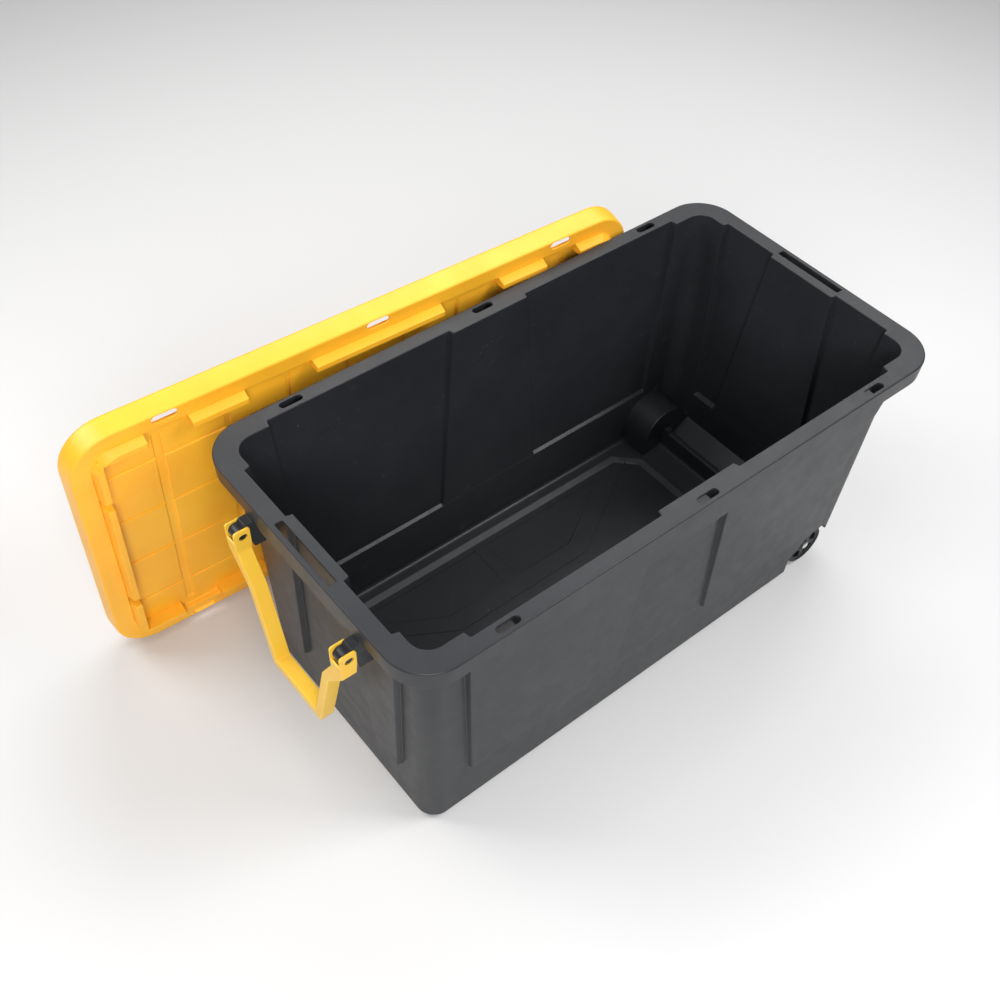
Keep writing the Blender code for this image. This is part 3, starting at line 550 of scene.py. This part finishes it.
# The proud panels end on a ledge: (depth, how much of the panel is left), from below.
LEDGE_RINGS = [(0.4012, 0.0), (0.4004, 0.03), (0.3997, 0.13), (0.3986, 0.36),
               (0.3974, 0.64), (0.3963, 0.87), (0.3956, 0.97), (0.3948, 1.0)]
WALL_RING_DEPTHS = (0.350, 0.290, 0.230, 0.170, 0.110, 0.060, 0.020)


def wall_rings(shrink):
    rings = [wall_ring(depth, shrink, HEIGHT - depth, share) for depth, share in LEDGE_RINGS]
    rings += [wall_ring(depth, shrink, HEIGHT - depth) for depth in WALL_RING_DEPTHS]
    return rings


def tub_shell():
    rings = []
    for inset, rise in quarter_turn(BASE_RADIUS, 5):
        z = FLOOR_BOTTOM + rise
        rings.append(wall_ring(HEIGHT - z, inset, z, 0.0))
    rings += wall_rings(0.0)
    under_rim = RIM_THICKNESS + 0.0010
    rings.append(wall_ring(under_rim, 0.0, HEIGHT - under_rim))
    rings.append(flat_rim_ring(WALL, under_rim))
    edge = quarter_turn(SKIRT_EDGE, 3)
    rings += [rim_ring(WALL + SKIRT_DRAFT - inset, rise) for inset, rise in reversed(edge)]
    rings += [rim_ring(SKIRT_DRAFT + inset, rise) for inset, rise in edge]
    rings += [flat_rim_ring(inset, rise) for rise, inset in quarter_turn(RIM_EDGE, 5)]
    return loft("tub_shell", rings)


def tub_cavity():
    rings = []
    for inset, rise in quarter_turn(TOE_RADIUS, 6):
        z = FLOOR_TOP + rise
        rings.append(wall_ring(HEIGHT - z, WALL + inset, z, 0.0))
    rings += wall_rings(WALL)
    for rise, inset in quarter_turn(LIP, 4):
        rings.append(wall_ring(rise, WALL - inset, HEIGHT - rise))
    above = 0.006
    rings.append(wall_ring(0.0, WALL - LIP, HEIGHT + above))
    return loft("cavity_cutter", rings)


# ---------------------------------------------------------------- floor of the tub
def octagon(inset):
    left, right = PAN_LEFT + inset, PAN_RIGHT - inset
    half, leg = PAN_HALF_WIDTH - inset, PAN_CHAMFER - inset * OCTAGON_SHORTENING
    return [
        (right, -half + leg), (right, half - leg), (right - leg, half), (left + leg, half),
        (left, half - leg), (left, -half + leg), (left + leg, -half), (right - leg, -half),
    ]


def pan_cutter():
    """The sunken middle of the floor, with a rounded edge above and below its slope."""
    levels = [
        (PAN_SLOPE + 0.0010, PAN_TOP), (PAN_SLOPE + 0.0001, PAN_TOP + 0.0002),
        (PAN_SLOPE - 0.0010, PAN_TOP + 0.0008), (0.0008, FLOOR_TOP - 0.0009),
        (-0.0004, FLOOR_TOP - 0.0003), (-0.0016, FLOOR_TOP), (-0.0016, FLOOR_TOP + 0.0100),
    ]
    return loft("pan_cutter", [[(x, y, z) for x, y in octagon(inset)] for inset, z in levels])


def pan_underside():
    wide, narrow = octagon(-WALL), octagon(PAN_SLOPE - WALL)
    rings = [
        [(x, y, 0.0) for x, y in narrow],
        [(x, y, FLOOR_BOTTOM) for x, y in wide],
        [(x, y, FLOOR_BOTTOM + 0.0015) for x, y in wide],
    ]
    return loft("pan_underside", rings)


def ribbon(points, half_width):
    """A narrow closed outline that follows an open path."""
    sides = []
    for side in (1, -1):
        row = []
        for i, (x, y) in enumerate(points):
            before, after = points[max(i - 1, 0)], points[min(i + 1, len(points) - 1)]
            ahead = Vector((after[0] - before[0], after[1] - before[1])).normalized()
            row.append((x - side * half_width * ahead.y, y + side * half_width * ahead.x))
        sides.append(row)
    return sides[0] + sides[1][::-1]


def floor_recess(name, corners, side):
    """A shallow panel with sloping edges pressed into the pan."""
    middle = Vector((sum(x for x, y in corners) / 4, sum(y for x, y in corners) / 4))
    rings = []
    for pull, z in ((0.0028, PAN_TOP - 0.0014), (0.0012, PAN_TOP - 0.0004), (0.0, PAN_TOP + 0.0010)):
        ring = []
        for x, y in corners:
            inward = (middle - Vector((x, y))).normalized() * pull * 1.4
            ring.append((x + inward.x, side * (y + inward.y), z))
        rings.append(ring)
    return loft(name, rings)


RECESS_LEFT = ((-0.374, 0.180), (-0.070, 0.180), (-0.072, 0.083), (-0.208, 0.083))
RECESS_RIGHT = ((-0.0466, 0.180), (0.253, 0.180), (0.0892, 0.082), (-0.0466, 0.084))
FLOOR_LINE = ((-0.440, 0.180), (-0.2068, 0.045), (0.0992, 0.045), (0.3250, 0.1778))
LINE_HALF_WIDTH, LINE_DEPTH = 0.0011, 0.0010


def shape_floor(tub):
    combine(tub, pan_underside(), "UNION")
    cutters = [pan_cutter()]
    for side in (-1, 1):
        cutters.append(floor_recess(f"recess_left_{side}", RECESS_LEFT, side))
        cutters.append(floor_recess(f"recess_right_{side}", RECESS_RIGHT, side))
        path = [(x, side * y) for x, y in FLOOR_LINE]
        outline = ribbon(path, LINE_HALF_WIDTH)
        cutters.append(
            prism(f"floor_line_{side}", outline, "Z", PAN_TOP - LINE_DEPTH, PAN_TOP + 0.004))
    return cutters


# ---------------------------------------------------------------- wheel end of the tub
def arch_outline(radius, left, shelf_z, right, bottom):
    """A wheel arch: upright on the left, round over the wheel, level shelf to the right."""
    end_angle = math.degrees(math.asin((shelf_z - AXLE_Z) / radius))
    start_angle = math.degrees(math.acos((left - AXLE_X) / radius))
    points = [(left, bottom)]
    points += arc(AXLE_X, AXLE_Z, radius, start_angle, end_angle, 32)
    points += [(right, shelf_z), (right, bottom)]
    return points


def opening_outline():
    """The wheel's opening in the side wall: cut off by a slanting edge on the upper left."""
    radius = HOUSING_RADIUS - WALL
    shelf_z = HOUSING_SHELF_Z - WALL
    end_angle = math.degrees(math.asin((shelf_z - AXLE_Z) / radius))
    points = [(AXLE_X - 0.0555, -0.010)]
    points += [(AXLE_X + a, AXLE_Z + c) for a, c in (
        (-0.0565, 0.0010), (-0.0375, 0.0210), (-0.0235, 0.0385), (-0.0100, 0.0455), (0.0135, 0.0485))]
    points += arc(AXLE_X, AXLE_Z, radius, 66, end_angle, 14)
    points += [(0.520, shelf_z), (0.520, -0.010)]
    return points


def ridge_outline():
    """Raised floor between the housings: ramp, axle tunnel, gutter, slope up to the end wall."""
    top = eased([
        (0.3560, FLOOR_TOP - 0.0005, 0), (0.4000, 0.0165, 0.006), (0.4125, 0.0195, 0.006),
        (0.4165, 0.0545, 0.0045), (0.4280, 0.0555, 0.003), (0.4320, 0.0330, 0.0035),
        (0.4460, 0.0285, 0.004), (0.5000, 0.0285 + 0.0540 * END_SLOPE, 0)], 6)
    return [(0.3560, -0.010)] + top + [(0.5000, -0.010)]


def ridge_hollow_outline():
    """The same, one wall thickness lower, open underneath and through the end wall."""
    return [
        (0.4165, -0.010), (0.4165, 0.0180), (0.4190, 0.0485), (0.4205, 0.0525),
        (0.4275, 0.0525), (0.4300, 0.0300), (0.4460, 0.0255), (0.5200, 0.0255 + 0.0740 * END_SLOPE),
        (0.5200, -0.010),
    ]


def cheek_trim_outline():
    points = [(AXLE_X, -0.010)] + arc(AXLE_X, AXLE_Z, WHEEL_RADIUS - 0.003, -90, -25, 12)
    return points + [(0.5200, 0.0225 + 0.0740 * END_SLOPE), (0.5200, -0.010)]


def shape_wheel_end(tub, cavity):
    housing = arch_outline(HOUSING_RADIUS, HOUSING_LEFT_X, HOUSING_SHELF_Z, 0.505, -0.010)
    well = arch_outline(
        HOUSING_RADIUS - WALL, HOUSING_LEFT_X + WALL, HOUSING_SHELF_Z - WALL, 0.520, -0.010)
    for side in (-1, 1):
        faces = sorted((side * HOUSING_FACE_Y, side * 0.240))
        block = prism(f"housing_{side}", housing, "Y", *faces, bevel=0.0032, segments=4)
        combine(cavity, block, "DIFFERENCE")
    ridge = prism("floor_ridge", ridge_outline(), "Y", -RIDGE_HALF_WIDTH, RIDGE_HALF_WIDTH)
    combine(cavity, ridge, "DIFFERENCE")
    boss = box_outline(*TUNNEL_BOSS)
    for side in (-1, 1):
        ends = sorted((side * TUNNEL_BOSS_INNER_Y, side * RIDGE_HALF_WIDTH))
        combine(cavity, prism(f"tunnel_boss_{side}", boss, "Y", *ends, bevel=0.0018), "DIFFERENCE")
    combine(tub, cavity, "DIFFERENCE")
    for side in (-1, 1):
        cuts = (
            ("well", well, HOUSING_FACE_Y + WALL, WELL_OUTER_Y),
            ("opening", opening_outline(), WELL_OUTER_Y - 0.004, 0.260),
            ("cheek_trim", cheek_trim_outline(), HOUSING_FACE_Y - 0.001, 0.240),
        )
        for name, outline, near, far in cuts:
            faces = sorted((side * near, side * far))
            combine(tub, prism(f"{name}_{side}", outline, "Y", *faces), "DIFFERENCE")
    half = HOUSING_FACE_Y - 0.0005
    combine(tub, prism("ridge_hollow", ridge_hollow_outline(), "Y", -half, half), "DIFFERENCE")
    bore = circle(AXLE_X, AXLE_Z, AXLE_BORE, 32)
    combine(tub, prism("axle_bore", bore, "Y", -0.190, 0.190), "DIFFERENCE")


# ---------------------------------------------------------------- lugs and rim slots
def add_lugs(tub):
    """Each lug is a flat-topped beam off the skirt with a barrel for the pin at its nose."""
    top = HEIGHT - SKIRT_END + 0.0015
    beam = [(-0.5120, 0.4190), (-0.5120, 0.5150), (-0.5415, 0.5150), (-0.5415, top),
            (-0.5545, top), (-0.5585, 0.4655), (-0.5620, 0.4560), (-0.5600, 0.4446),
            (-0.5470, 0.4340), (-0.5436, 0.4190)]
    barrel = circle(PIVOT_X - 0.0005, PIVOT_Z, LUG_BARREL, 40)
    bore = circle(PIVOT_X, PIVOT_Z, PIN_BORE, 32)
    for side in (-1, 1):
        middle = side * CLEVIS_Y
        low, high = middle - LUG_HALF_WIDTH, middle + LUG_HALF_WIDTH
        combine(tub, prism(f"lug_beam_{side}", beam, "Y", low, high, bevel=0.0010), "UNION")
        nose = prism(f"lug_barrel_{side}", barrel, "Y", low + 0.0001, high - 0.0001, bevel=0.0008)
        combine(tub, nose, "UNION")
        combine(tub, prism(f"lug_bore_{side}", bore, "Y", low - 0.01, high + 0.01), "DIFFERENCE")


def add_slot_ribs(tub):
    """Stiffening ribs between the wall and the skirt, either side of each side slot."""
    low, high = HEIGHT - SLOT_RIB_DEPTH, HEIGHT - 0.002
    for side in (-1, 1):
        low_y, high_y = sorted((side * 0.2420, side * (HALF_WIDTH - 0.0020)))
        for x in (-SLOT_X, 0.0, SLOT_X):
            for middle in (x - SLOT_RIB_OFFSET, x + SLOT_RIB_OFFSET):
                outline = box_outline(middle - SLOT_RIB_HALF, low_y, middle + SLOT_RIB_HALF, high_y)
                combine(tub, prism("slot_rib", outline, "Z", low, high), "UNION")


def flared_cutter(name, outline_at, low, high):
    """A through cutter whose mouth opens out where it meets the surface at height high."""
    levels = [(0.0, low), (0.0, high - SLOT_FLARE), (0.3, high - SLOT_FLARE * 0.42),
              (0.7, high - SLOT_FLARE * 0.10), (1.0, high), (1.0, high + 0.004)]
    rings = [[(x, y, z) for x, y in outline_at(SLOT_FLARE * share)] for share, z in levels]
    return loft(name, rings)


def slot_cutter(name, x, y, low, high, wider=0.0):
    half_length, half_width = SLOT_HALF_LENGTH + wider, SLOT_HALF_WIDTH + wider
    return flared_cutter(
        name, lambda grow: obround(x, y, half_length + grow, half_width + grow), low, high)


def end_slot_cutter(name, x, low, high):
    def outline_at(grow):
        half_x, half_y = END_SLOT_HALF_WIDTH + grow, END_SLOT_HALF_LENGTH + grow
        return soft_box(x - half_x, -half_y, x + half_x, half_y, END_SLOT_CORNER + grow)

    return flared_cutter(name, outline_at, low, high)


def cut_rim_slots(tub):
    low = HEIGHT - 0.010
    for row, y in (("front", -SLOT_Y), ("back", SLOT_Y)):
        for column, x in (("left", -SLOT_X), ("middle", 0.0), ("right", SLOT_X)):
            combine(tub, slot_cutter(f"rim_slot_{row}_{column}", x, y, low, HEIGHT), "DIFFERENCE")
    for name, x in (("handle_end", -END_SLOT_X), ("wheel_end", END_SLOT_X)):
        combine(tub, end_slot_cutter(f"end_slot_{name}", x, low, HEIGHT), "DIFFERENCE")


def make_tub():
    before = set(bpy.data.objects)
    tub = tub_shell()
    add_lugs(tub)
    add_slot_ribs(tub)
    floor_cutters = shape_floor(tub)
    shape_wheel_end(tub, tub_cavity())
    for cutter in floor_cutters:
        combine(tub, cutter, "DIFFERENCE")
    cut_rim_slots(tub)
    settle(tub, "tub_moulding", tools_since(before, tub))
    dress(tub, "black_moulding", "base", "tub")


# ---------------------------------------------------------------- wheels
def turned(name, profile, y_side, segments=96):
    """Spin a closed (radius, distance from the middle plane) profile about the axle."""
    bm = bmesh.new()
    rings = []
    for i in range(segments):
        angle = 2 * math.pi * i / segments
        rings.append([
            bm.verts.new((AXLE_X + r * math.cos(angle), y_side * y, AXLE_Z + r * math.sin(angle)))
            for r, y in profile
        ])
    count = len(profile)
    for i in range(segments):
        this, following = rings[i], rings[(i + 1) % segments]
        for a in range(count):
            b = (a + 1) % count
            bm.faces.new((this[a], this[b], following[b], following[a]))
    return object_from(name, bm)


def spoke_window(middle):
    inner, outer = WINDOW_RADII
    start, end = middle - 25, middle + 25
    return arc(AXLE_X, AXLE_Z, outer, start, end, 14) + arc(AXLE_X, AXLE_Z, inner, end - 6, start + 6, 8)


def make_wheel(name, side):
    before = set(bpy.data.objects)
    face, hub_face = WHEEL_FACE_Y, WHEEL_FACE_Y - HUB_SINK
    web_face, web_back = WHEEL_FACE_Y - WEB_SINK, WHEEL_FACE_Y - WEB_BACK_SINK
    profile = [(AXLE_BORE, HUB_INNER_Y), (HUB_RADIUS - 0.0006, HUB_INNER_Y),
               (HUB_RADIUS, HUB_INNER_Y + 0.0006), (HUB_RADIUS, web_back),
               (RING_RADIUS, web_back), (RING_RADIUS, WHEEL_INNER_Y + 0.0008),
               (RING_RADIUS + 0.0008, WHEEL_INNER_Y)]
    profile += [(WHEEL_RADIUS - rise, WHEEL_INNER_Y + inset)
                for rise, inset in quarter_turn(WHEEL_INNER_ROUND, 4)]
    profile += [(WHEEL_RADIUS - rise, face - inset)
                for inset, rise in reversed(quarter_turn(WHEEL_FACE_ROUND, 6))]
    profile += [(RING_RADIUS + 0.0022, face), (RING_RADIUS + 0.0010, face - 0.0005),
                (RING_RADIUS - 0.0006, web_face + 0.0006), (RING_RADIUS - 0.0018, web_face),
                (HUB_RADIUS + 0.0020, web_face), (HUB_RADIUS + 0.0008, web_face + 0.0006),
                (HUB_RADIUS - 0.0004, hub_face - 0.0005), (HUB_RADIUS - 0.0014, hub_face),
                (AXLE_BORE + 0.0005, hub_face), (AXLE_BORE, hub_face - 0.0005)]
    wheel = turned(name, profile, side)
    faces = sorted((side * (web_back - 0.002), side * (face + 0.002)))
    for i in range(SPOKES):
        outline = spoke_window(90 + 360 * i / SPOKES)
        combine(wheel, prism(f"{name}_window_{i + 1}", outline, "Y", *faces), "DIFFERENCE")
    settle(wheel, f"{name}_moulding", tools_since(before, wheel))
    dress(wheel, "wheel_moulding", name, name)


# ---------------------------------------------------------------- pull handle
def half_bail():
    outer = [(0.0, 0.2055), (0.0670, 0.2055), (0.1080, 0.3650), (0.1513, 0.4200), (0.1513, 0.4400)]
    inner = [(0.1237, 0.4400), (0.1237, 0.4270), (0.0930, 0.3720), (0.0550, 0.2235), (0.0, 0.2235)]
    return outer + inner


def cheek_outline():
    front, back, top = -0.5765, -0.5490, 0.4705
    points = [(HANDLE_BACK_X, 0.4270), (back, 0.4400), (back, top - 0.0050)]
    points += arc(back - 0.0040, top - 0.0040, 0.0040, 0, 90, 8)[1:]
    points += arc(front + 0.0050, top - 0.0050, 0.0050, 90, 180, 8)
    return points + [(front, 0.4400), (HANDLE_FRONT_X, 0.4270)]


def lug_clearance(name, middle):
    outline = [(-0.5440, 0.4250), (-0.5440, 0.4900), (-0.5850, 0.4900), (-0.5850, 0.4400)]
    outline += arc(PIVOT_X, PIVOT_Z, 0.0160, 215, 262, 10) + [(HANDLE_BACK_X + 0.001, 0.4275)]
    return prism(name, outline, "Y", middle - CHEEK_INNER, middle + CHEEK_INNER)


def make_handle():
    before = set(bpy.data.objects)
    outline = half_bail()
    ring = outline + [(-y, z) for y, z in reversed(outline) if y > 0]
    handle = prism("pull_handle_bail", ring, "X", HANDLE_FRONT_X, HANDLE_BACK_X, bevel=0.0016, angle=15)
    for side in (-1, 1):
        middle = side * CLEVIS_Y
        low, high = middle - CHEEK_OUTER, middle + CHEEK_OUTER
        block = prism(f"clevis_{side}", cheek_outline(), "Y", low, high, bevel=0.0009)
        combine(handle, block, "UNION")
        combine(handle, lug_clearance(f"clevis_room_{side}", middle), "DIFFERENCE")
        hole = obround(PIVOT_X, PIVOT_Z, 0.0075, 0.0055)
        cutter = prism(f"cheek_hole_{side}", hole, "Y", middle - 0.02, middle + 0.02)
        combine(handle, cutter, "DIFFERENCE")
    channel = [(-0.5725, 0.1900), (-0.5725, 0.2135), (-0.5695, 0.2165), (-0.5565, 0.2165),
               (-0.5535, 0.2135), (-0.5535, 0.1900)]
    combine(handle, prism("grip_channel", channel, "Y", -0.052, 0.052, bevel=0.0008), "DIFFERENCE")
    settle(handle, "pull_handle_moulding", tools_since(before, handle))
    dress(handle, "yellow_handle", "handle", "pull_handle")


# ---------------------------------------------------------------- lid
def lid_ring(shrink, z):
    outline = rounded_rectangle(
        LID_HALF_LENGTH - shrink, LID_HALF_WIDTH - shrink, LID_CORNER - shrink)
    return [(x, y, z) for x, y in outline]


def lid_shell():
    """The lid's outside: X along it, Y across it, +Z out of its underside."""
    tip = -LID_HEIGHT
    rings = [lid_ring(shrink, z) for shrink, z in (
        (0.0075, 0.0), (0.0058, -0.0002), (0.0045, -0.0009), (0.0037, -0.0020), (0.0033, -0.0035),
        (0.0015, -0.0180), (0.0005, tip + 0.0110), (0.0004, tip + 0.0066), (0.0007, tip + 0.0042),
        (0.0014, tip + 0.0024), (0.0026, tip + 0.0009), (0.0040, tip + 0.0004))]
    return loft("lid_shell", rings)


def field_ring(grow, z):
    outline = rounded_rectangle(LID_FIELD_X + grow, LID_FIELD_Y + grow, LID_FIELD_CORNER + grow)
    return [(x, y, z) for x, y in outline]


def lid_field():
    low = -LID_FIELD_DEPTH
    levels = ((-0.0026, low), (-0.0010, low + 0.0003), (-0.0002, low + 0.0012), (0.0002, low + 0.0026),
              (0.0008, -0.0016), (0.0013, -0.0006), (0.0024, 0.0), (0.0024, 0.004))
    return loft("lid_field", [field_ring(grow, z) for grow, z in levels])


def lid_tray():
    """The top side: a tray with an upright wall, and a gutter behind the flange round its floor."""
    levels = ((0.0052, -LID_HEIGHT - 0.004), (0.0052, -LID_HEIGHT), (0.0062, -LID_HEIGHT + 0.0010),
              (0.0065, -LID_HEIGHT + 0.0026), (0.0092, -LID_WALL - 0.0015), (0.0106, -LID_WALL))
    tray = loft("lid_tray", [lid_ring(shrink, z) for shrink, z in levels])
    floor = -LID_FIELD_DEPTH - LID_WALL
    plateau = loft("lid_plateau", [field_ring(LID_WALL, z) for z in (floor, 0.010)])
    combine(tray, plateau, "DIFFERENCE")
    return tray


def groove_boxes():
    """The grooves between the field's tiles, as (low x, low y, high x, high y)."""
    reach_x, reach_y = LID_FIELD_X - GROOVE_MARGIN, LID_FIELD_Y - GROOVE_MARGIN
    crossing = [(side * x, CROSS_GROOVE_HALF) for side in (-1, 1) for x in CROSS_GROOVES]
    crossing += [(side * END_GROOVES, END_GROOVE_HALF) for side in (-1, 1)]
    boxes = [(x - half, -reach_y, x + half, reach_y) for x, half in crossing]
    for side in (-1, 1):
        for y in LONG_GROOVES:
            middle = side * y
            boxes.append((-reach_x, middle - LONG_GROOVE_HALF, reach_x, middle + LONG_GROOVE_HALF))
    return boxes


def groove_cutter(name, box):
    """A groove with sloping sides and rounded lips."""
    low, high = -LID_GROOVE_DEPTH, -LID_FIELD_DEPTH
    rings = []
    for grow, z in ((-0.0014, low), (-0.0006, low + 0.0004), (0.0002, high - 0.0012),
                    (0.0009, high - 0.0003), (0.0020, high), (0.0020, high + 0.003)):
        x0, y0, x1, y1 = box
        outline = soft_box(x0 - grow, y0 - grow, x1 + grow, y1 + grow, 0.0018 + grow)
        rings.append([(x, y, z) for x, y in outline])
    return loft(name, rings)


def merged(pieces):
    """One cutter or one body out of pieces that cross each other."""
    first = pieces[0]
    for piece in pieces[1:]:
        combine(first, piece, "UNION")
    return first


def add_lid_grooves(lid):
    """Each groove shows on the top side as a ridge, so that the sheet stays equally thick."""
    low, high = -LID_GROOVE_DEPTH - LID_WALL, -LID_FIELD_DEPTH - LID_WALL + 0.001
    ridges, grooves = [], []
    for i, (x0, y0, x1, y1) in enumerate(groove_boxes()):
        outline = soft_box(x0 - LID_WALL, y0 - LID_WALL, x1 + LID_WALL, y1 + LID_WALL, 0.003)
        ridges.append(prism(f"lid_ridge_{i + 1}", outline, "Z", low, high))
        grooves.append(groove_cutter(f"lid_groove_{i + 1}", (x0, y0, x1, y1)))
    combine(lid, merged(ridges), "UNION")
    combine(lid, merged(grooves), "DIFFERENCE")


def lid_block(name, x0, y0, x1, y1, lean):
    """A locating block; lean gives how far its crest moves in on its low and high sides."""
    low_x, low_y, high_x, high_y = lean
    base, shoulder, crest = -LID_FIELD_DEPTH - 0.001, 0.0, BLOCK_HEIGHT
    rings = []
    for share, z in ((0.0, base), (0.0, shoulder), (1.0, crest)):
        outline = box_outline(x0 + share * low_x, y0 + share * low_y,
                              x1 - share * high_x, y1 - share * high_y)
        rings.append([(x, y, z) for x, y in outline])
    block = loft(name, rings)
    round_edges(block, 0.0014, 3, 25)
    return block


def side_lean(side):
    """Blocks on a long side lean away from the wall on that side."""
    return (0.001, BLOCK_LEAN, 0.001, 0.0003) if side < 0 else (0.001, 0.0003, 0.001, BLOCK_LEAN)


def end_lean(end):
    return (BLOCK_LEAN, 0.001, 0.0003, 0.001) if end < 0 else (0.0003, 0.001, BLOCK_LEAN, 0.001)


def block_span(way, field_edge):
    """Across a block: from its foot in the field's wall to its inner face."""
    return sorted((way * (field_edge + BLOCK_OVERLAP), way * (field_edge - BLOCK_THICKNESS)))


def lid_corner_block(end, side, x_span, y_span):
    """An L-shaped block: two blocks joined, then trimmed once to the field's rounded corner."""
    name = f"lid_corner_{end}_{side}"
    xs = sorted((end * (LID_FIELD_X - BLOCK_END_GAP), end * CORNER_BLOCK_X))
    ys = sorted((side * CORNER_BLOCK_Y, side * (LID_FIELD_Y - BLOCK_END_GAP)))
    along = lid_block(f"{name}_long", xs[0], y_span[0], xs[1], y_span[1], side_lean(side))
    across = lid_block(f"{name}_end", x_span[0], ys[0], x_span[1], ys[1], end_lean(end))
    combine(along, across, "UNION")
    levels = ((0.0040, -0.05), (0.0040, 0.0004), (-BLOCK_LEAN, BLOCK_HEIGHT), (-BLOCK_LEAN, 0.05))
    trim = loft(f"{name}_trim", [field_ring(grow, z) for grow, z in levels])
    combine(along, trim, "INTERSECT")
    return along


def add_lid_blocks(lid):
    blocks = []
    x_spans = {way: block_span(way, LID_FIELD_X) for way in (-1, 1)}
    y_spans = {way: block_span(way, LID_FIELD_Y) for way in (-1, 1)}
    for side in (-1, 1):
        y0, y1 = y_spans[side]
        for x0, x1 in SIDE_BLOCK_SPANS:
            blocks.append(lid_block(f"lid_block_{side}_{x0}", x0, y0, x1, y1, side_lean(side)))
    for end in (-1, 1):
        x0, x1 = x_spans[end]
        half = END_BLOCK_HALF_LENGTH
        blocks.append(lid_block(f"lid_block_end_{end}", x0, -half, x1, half, end_lean(end)))
        for side in (-1, 1):
            blocks.append(lid_corner_block(end, side, x_spans[end], y_spans[side]))
    for block in blocks:
        combine(lid, block, "UNION")


def make_lid():
    before = set(bpy.data.objects)
    lid = lid_shell()
    combine(lid, lid_field(), "DIFFERENCE")
    combine(lid, lid_tray(), "DIFFERENCE")
    add_lid_grooves(lid)
    add_lid_blocks(lid)
    for row, y in (("lower", -LID_SLOT_Y), ("upper", LID_SLOT_Y)):
        for column, x in (("left", -SLOT_X), ("middle", 0.0), ("right", SLOT_X)):
            name = f"lid_slot_{row}_{column}"
            slot = slot_cutter(name, x, y, -LID_SLOT_DEPTH, 0.0, LID_SLOT_WIDER)
            combine(lid, slot, "DIFFERENCE")
    settle(lid, "lid_moulding", tools_since(before, lid))
    across = LID_LONG_AXIS.normalized()
    up = (LID_UP_AXIS - across * LID_UP_AXIS.dot(across)).normalized()
    pose = Matrix((across, up, across.cross(up))).transposed().to_4x4()
    pose.translation = LID_ORIGIN
    lid.data.transform(pose)
    dress(lid, "yellow_lid", "lid", "lid")


# ---------------------------------------------------------------- small CAD pieces
def finish_node(name, slot, bevel):
    """Give a CAD piece its finish and softer edges."""
    item = NODES[name]
    item.data.materials.clear()
    item.data.materials.append(FINISH[slot])
    round_edges(item, bevel, 2, 40)


# ---------------------------------------------------------------- floor, light and camera
def pale(name, colour, roughness):
    shader = Shader(name, colour, roughness)
    shader.bump(shader.noise(30.0, 2.0), 0.02, 0.002)
    return shader.connect()


def make_stage():
    bpy.ops.mesh.primitive_plane_add(size=24.0, location=(0.0, 0.0, -0.0005))
    floor = bpy.context.object
    floor.name = "studio_floor"
    floor.data.materials.append(pale("studio_white", (0.66, 0.66, 0.66), 0.85))


def area_light(name, place, aim, size, watts):
    light = bpy.data.lights.new(name, "AREA")
    light.shape = "RECTANGLE"
    light.size, light.size_y = size
    light.energy = watts
    item = bpy.data.objects.new(name, light)
    bpy.context.scene.collection.objects.link(item)
    item.location = place
    item.rotation_euler = (Vector(aim) - Vector(place)).to_track_quat("-Z", "Y").to_euler()


def make_world(strength):
    world = bpy.data.worlds.new("studio")
    bpy.context.scene.world = world
    world.use_nodes = True
    world.node_tree.nodes["Background"].inputs["Color"].default_value = (1.0, 1.0, 1.0, 1.0)
    world.node_tree.nodes["Background"].inputs["Strength"].default_value = strength


TUB_MIDDLE = (0.0, 0.0, 0.25)
WORLD_STRENGTH = 0.06
# Softboxes: name, place, what it is aimed at, size, watts.
SOFTBOXES = (
    ("wide_right", (1.46, 1.48, 2.60), TUB_MIDDLE, (3.2, 1.3), 56),
    ("front_right", (1.45, -1.45, 2.70), TUB_MIDDLE, (1.3, 1.3), 56),
    ("front_left", (-1.63, -2.09, 2.04), (-0.2, 0.1, 0.25), (1.5, 1.3), 76),
    ("back_left", (-1.62, 1.62, 2.35), TUB_MIDDLE, (1.3, 1.6), 42),
    ("overhead", (-0.88, 0.0, 3.33), TUB_MIDDLE, (1.4, 1.4), 26),
)
CAMERA_PLACE = Vector((-1.01130, -0.95626, 1.82023))
CAMERA_AIM = Vector((-0.12636, 0.05199, 0.25))
CAMERA_ROLL = math.radians(3.063)


def make_camera():
    data = bpy.data.cameras.new("camera")
    data.lens = 43.004
    data.sensor_width = 36.0
    data.shift_x, data.shift_y = 0.00104, 0.0216
    camera = bpy.data.objects.new("camera", data)
    bpy.context.scene.collection.objects.link(camera)
    camera.location = CAMERA_PLACE
    level = (CAMERA_AIM - CAMERA_PLACE).to_track_quat("-Z", "Y").to_matrix()
    camera.rotation_euler = (level @ Matrix.Rotation(CAMERA_ROLL, 3, "Z")).to_euler()
    bpy.context.scene.camera = camera


make_tub()
for wheel_name, wheel_side in (("wheel_front", -1), ("wheel_back", 1)):
    make_wheel(wheel_name, wheel_side)
make_handle()
make_lid()
for position in ("front", "back"):
    finish_node(f"handle_pin_{position}", "black_pin", 0.0006)
    finish_node(f"axle_cap_{position}", "zinc_steel", 0.0003)
    finish_node(f"axle_washer_{position}", "zinc_steel", 0.0003)
finish_node("axle", "zinc_steel", 0.0004)
make_stage()
for softbox in SOFTBOXES:
    area_light(*softbox)
make_world(WORLD_STRENGTH)
make_camera()
bpy.context.scene.view_settings.view_transform = "Standard"
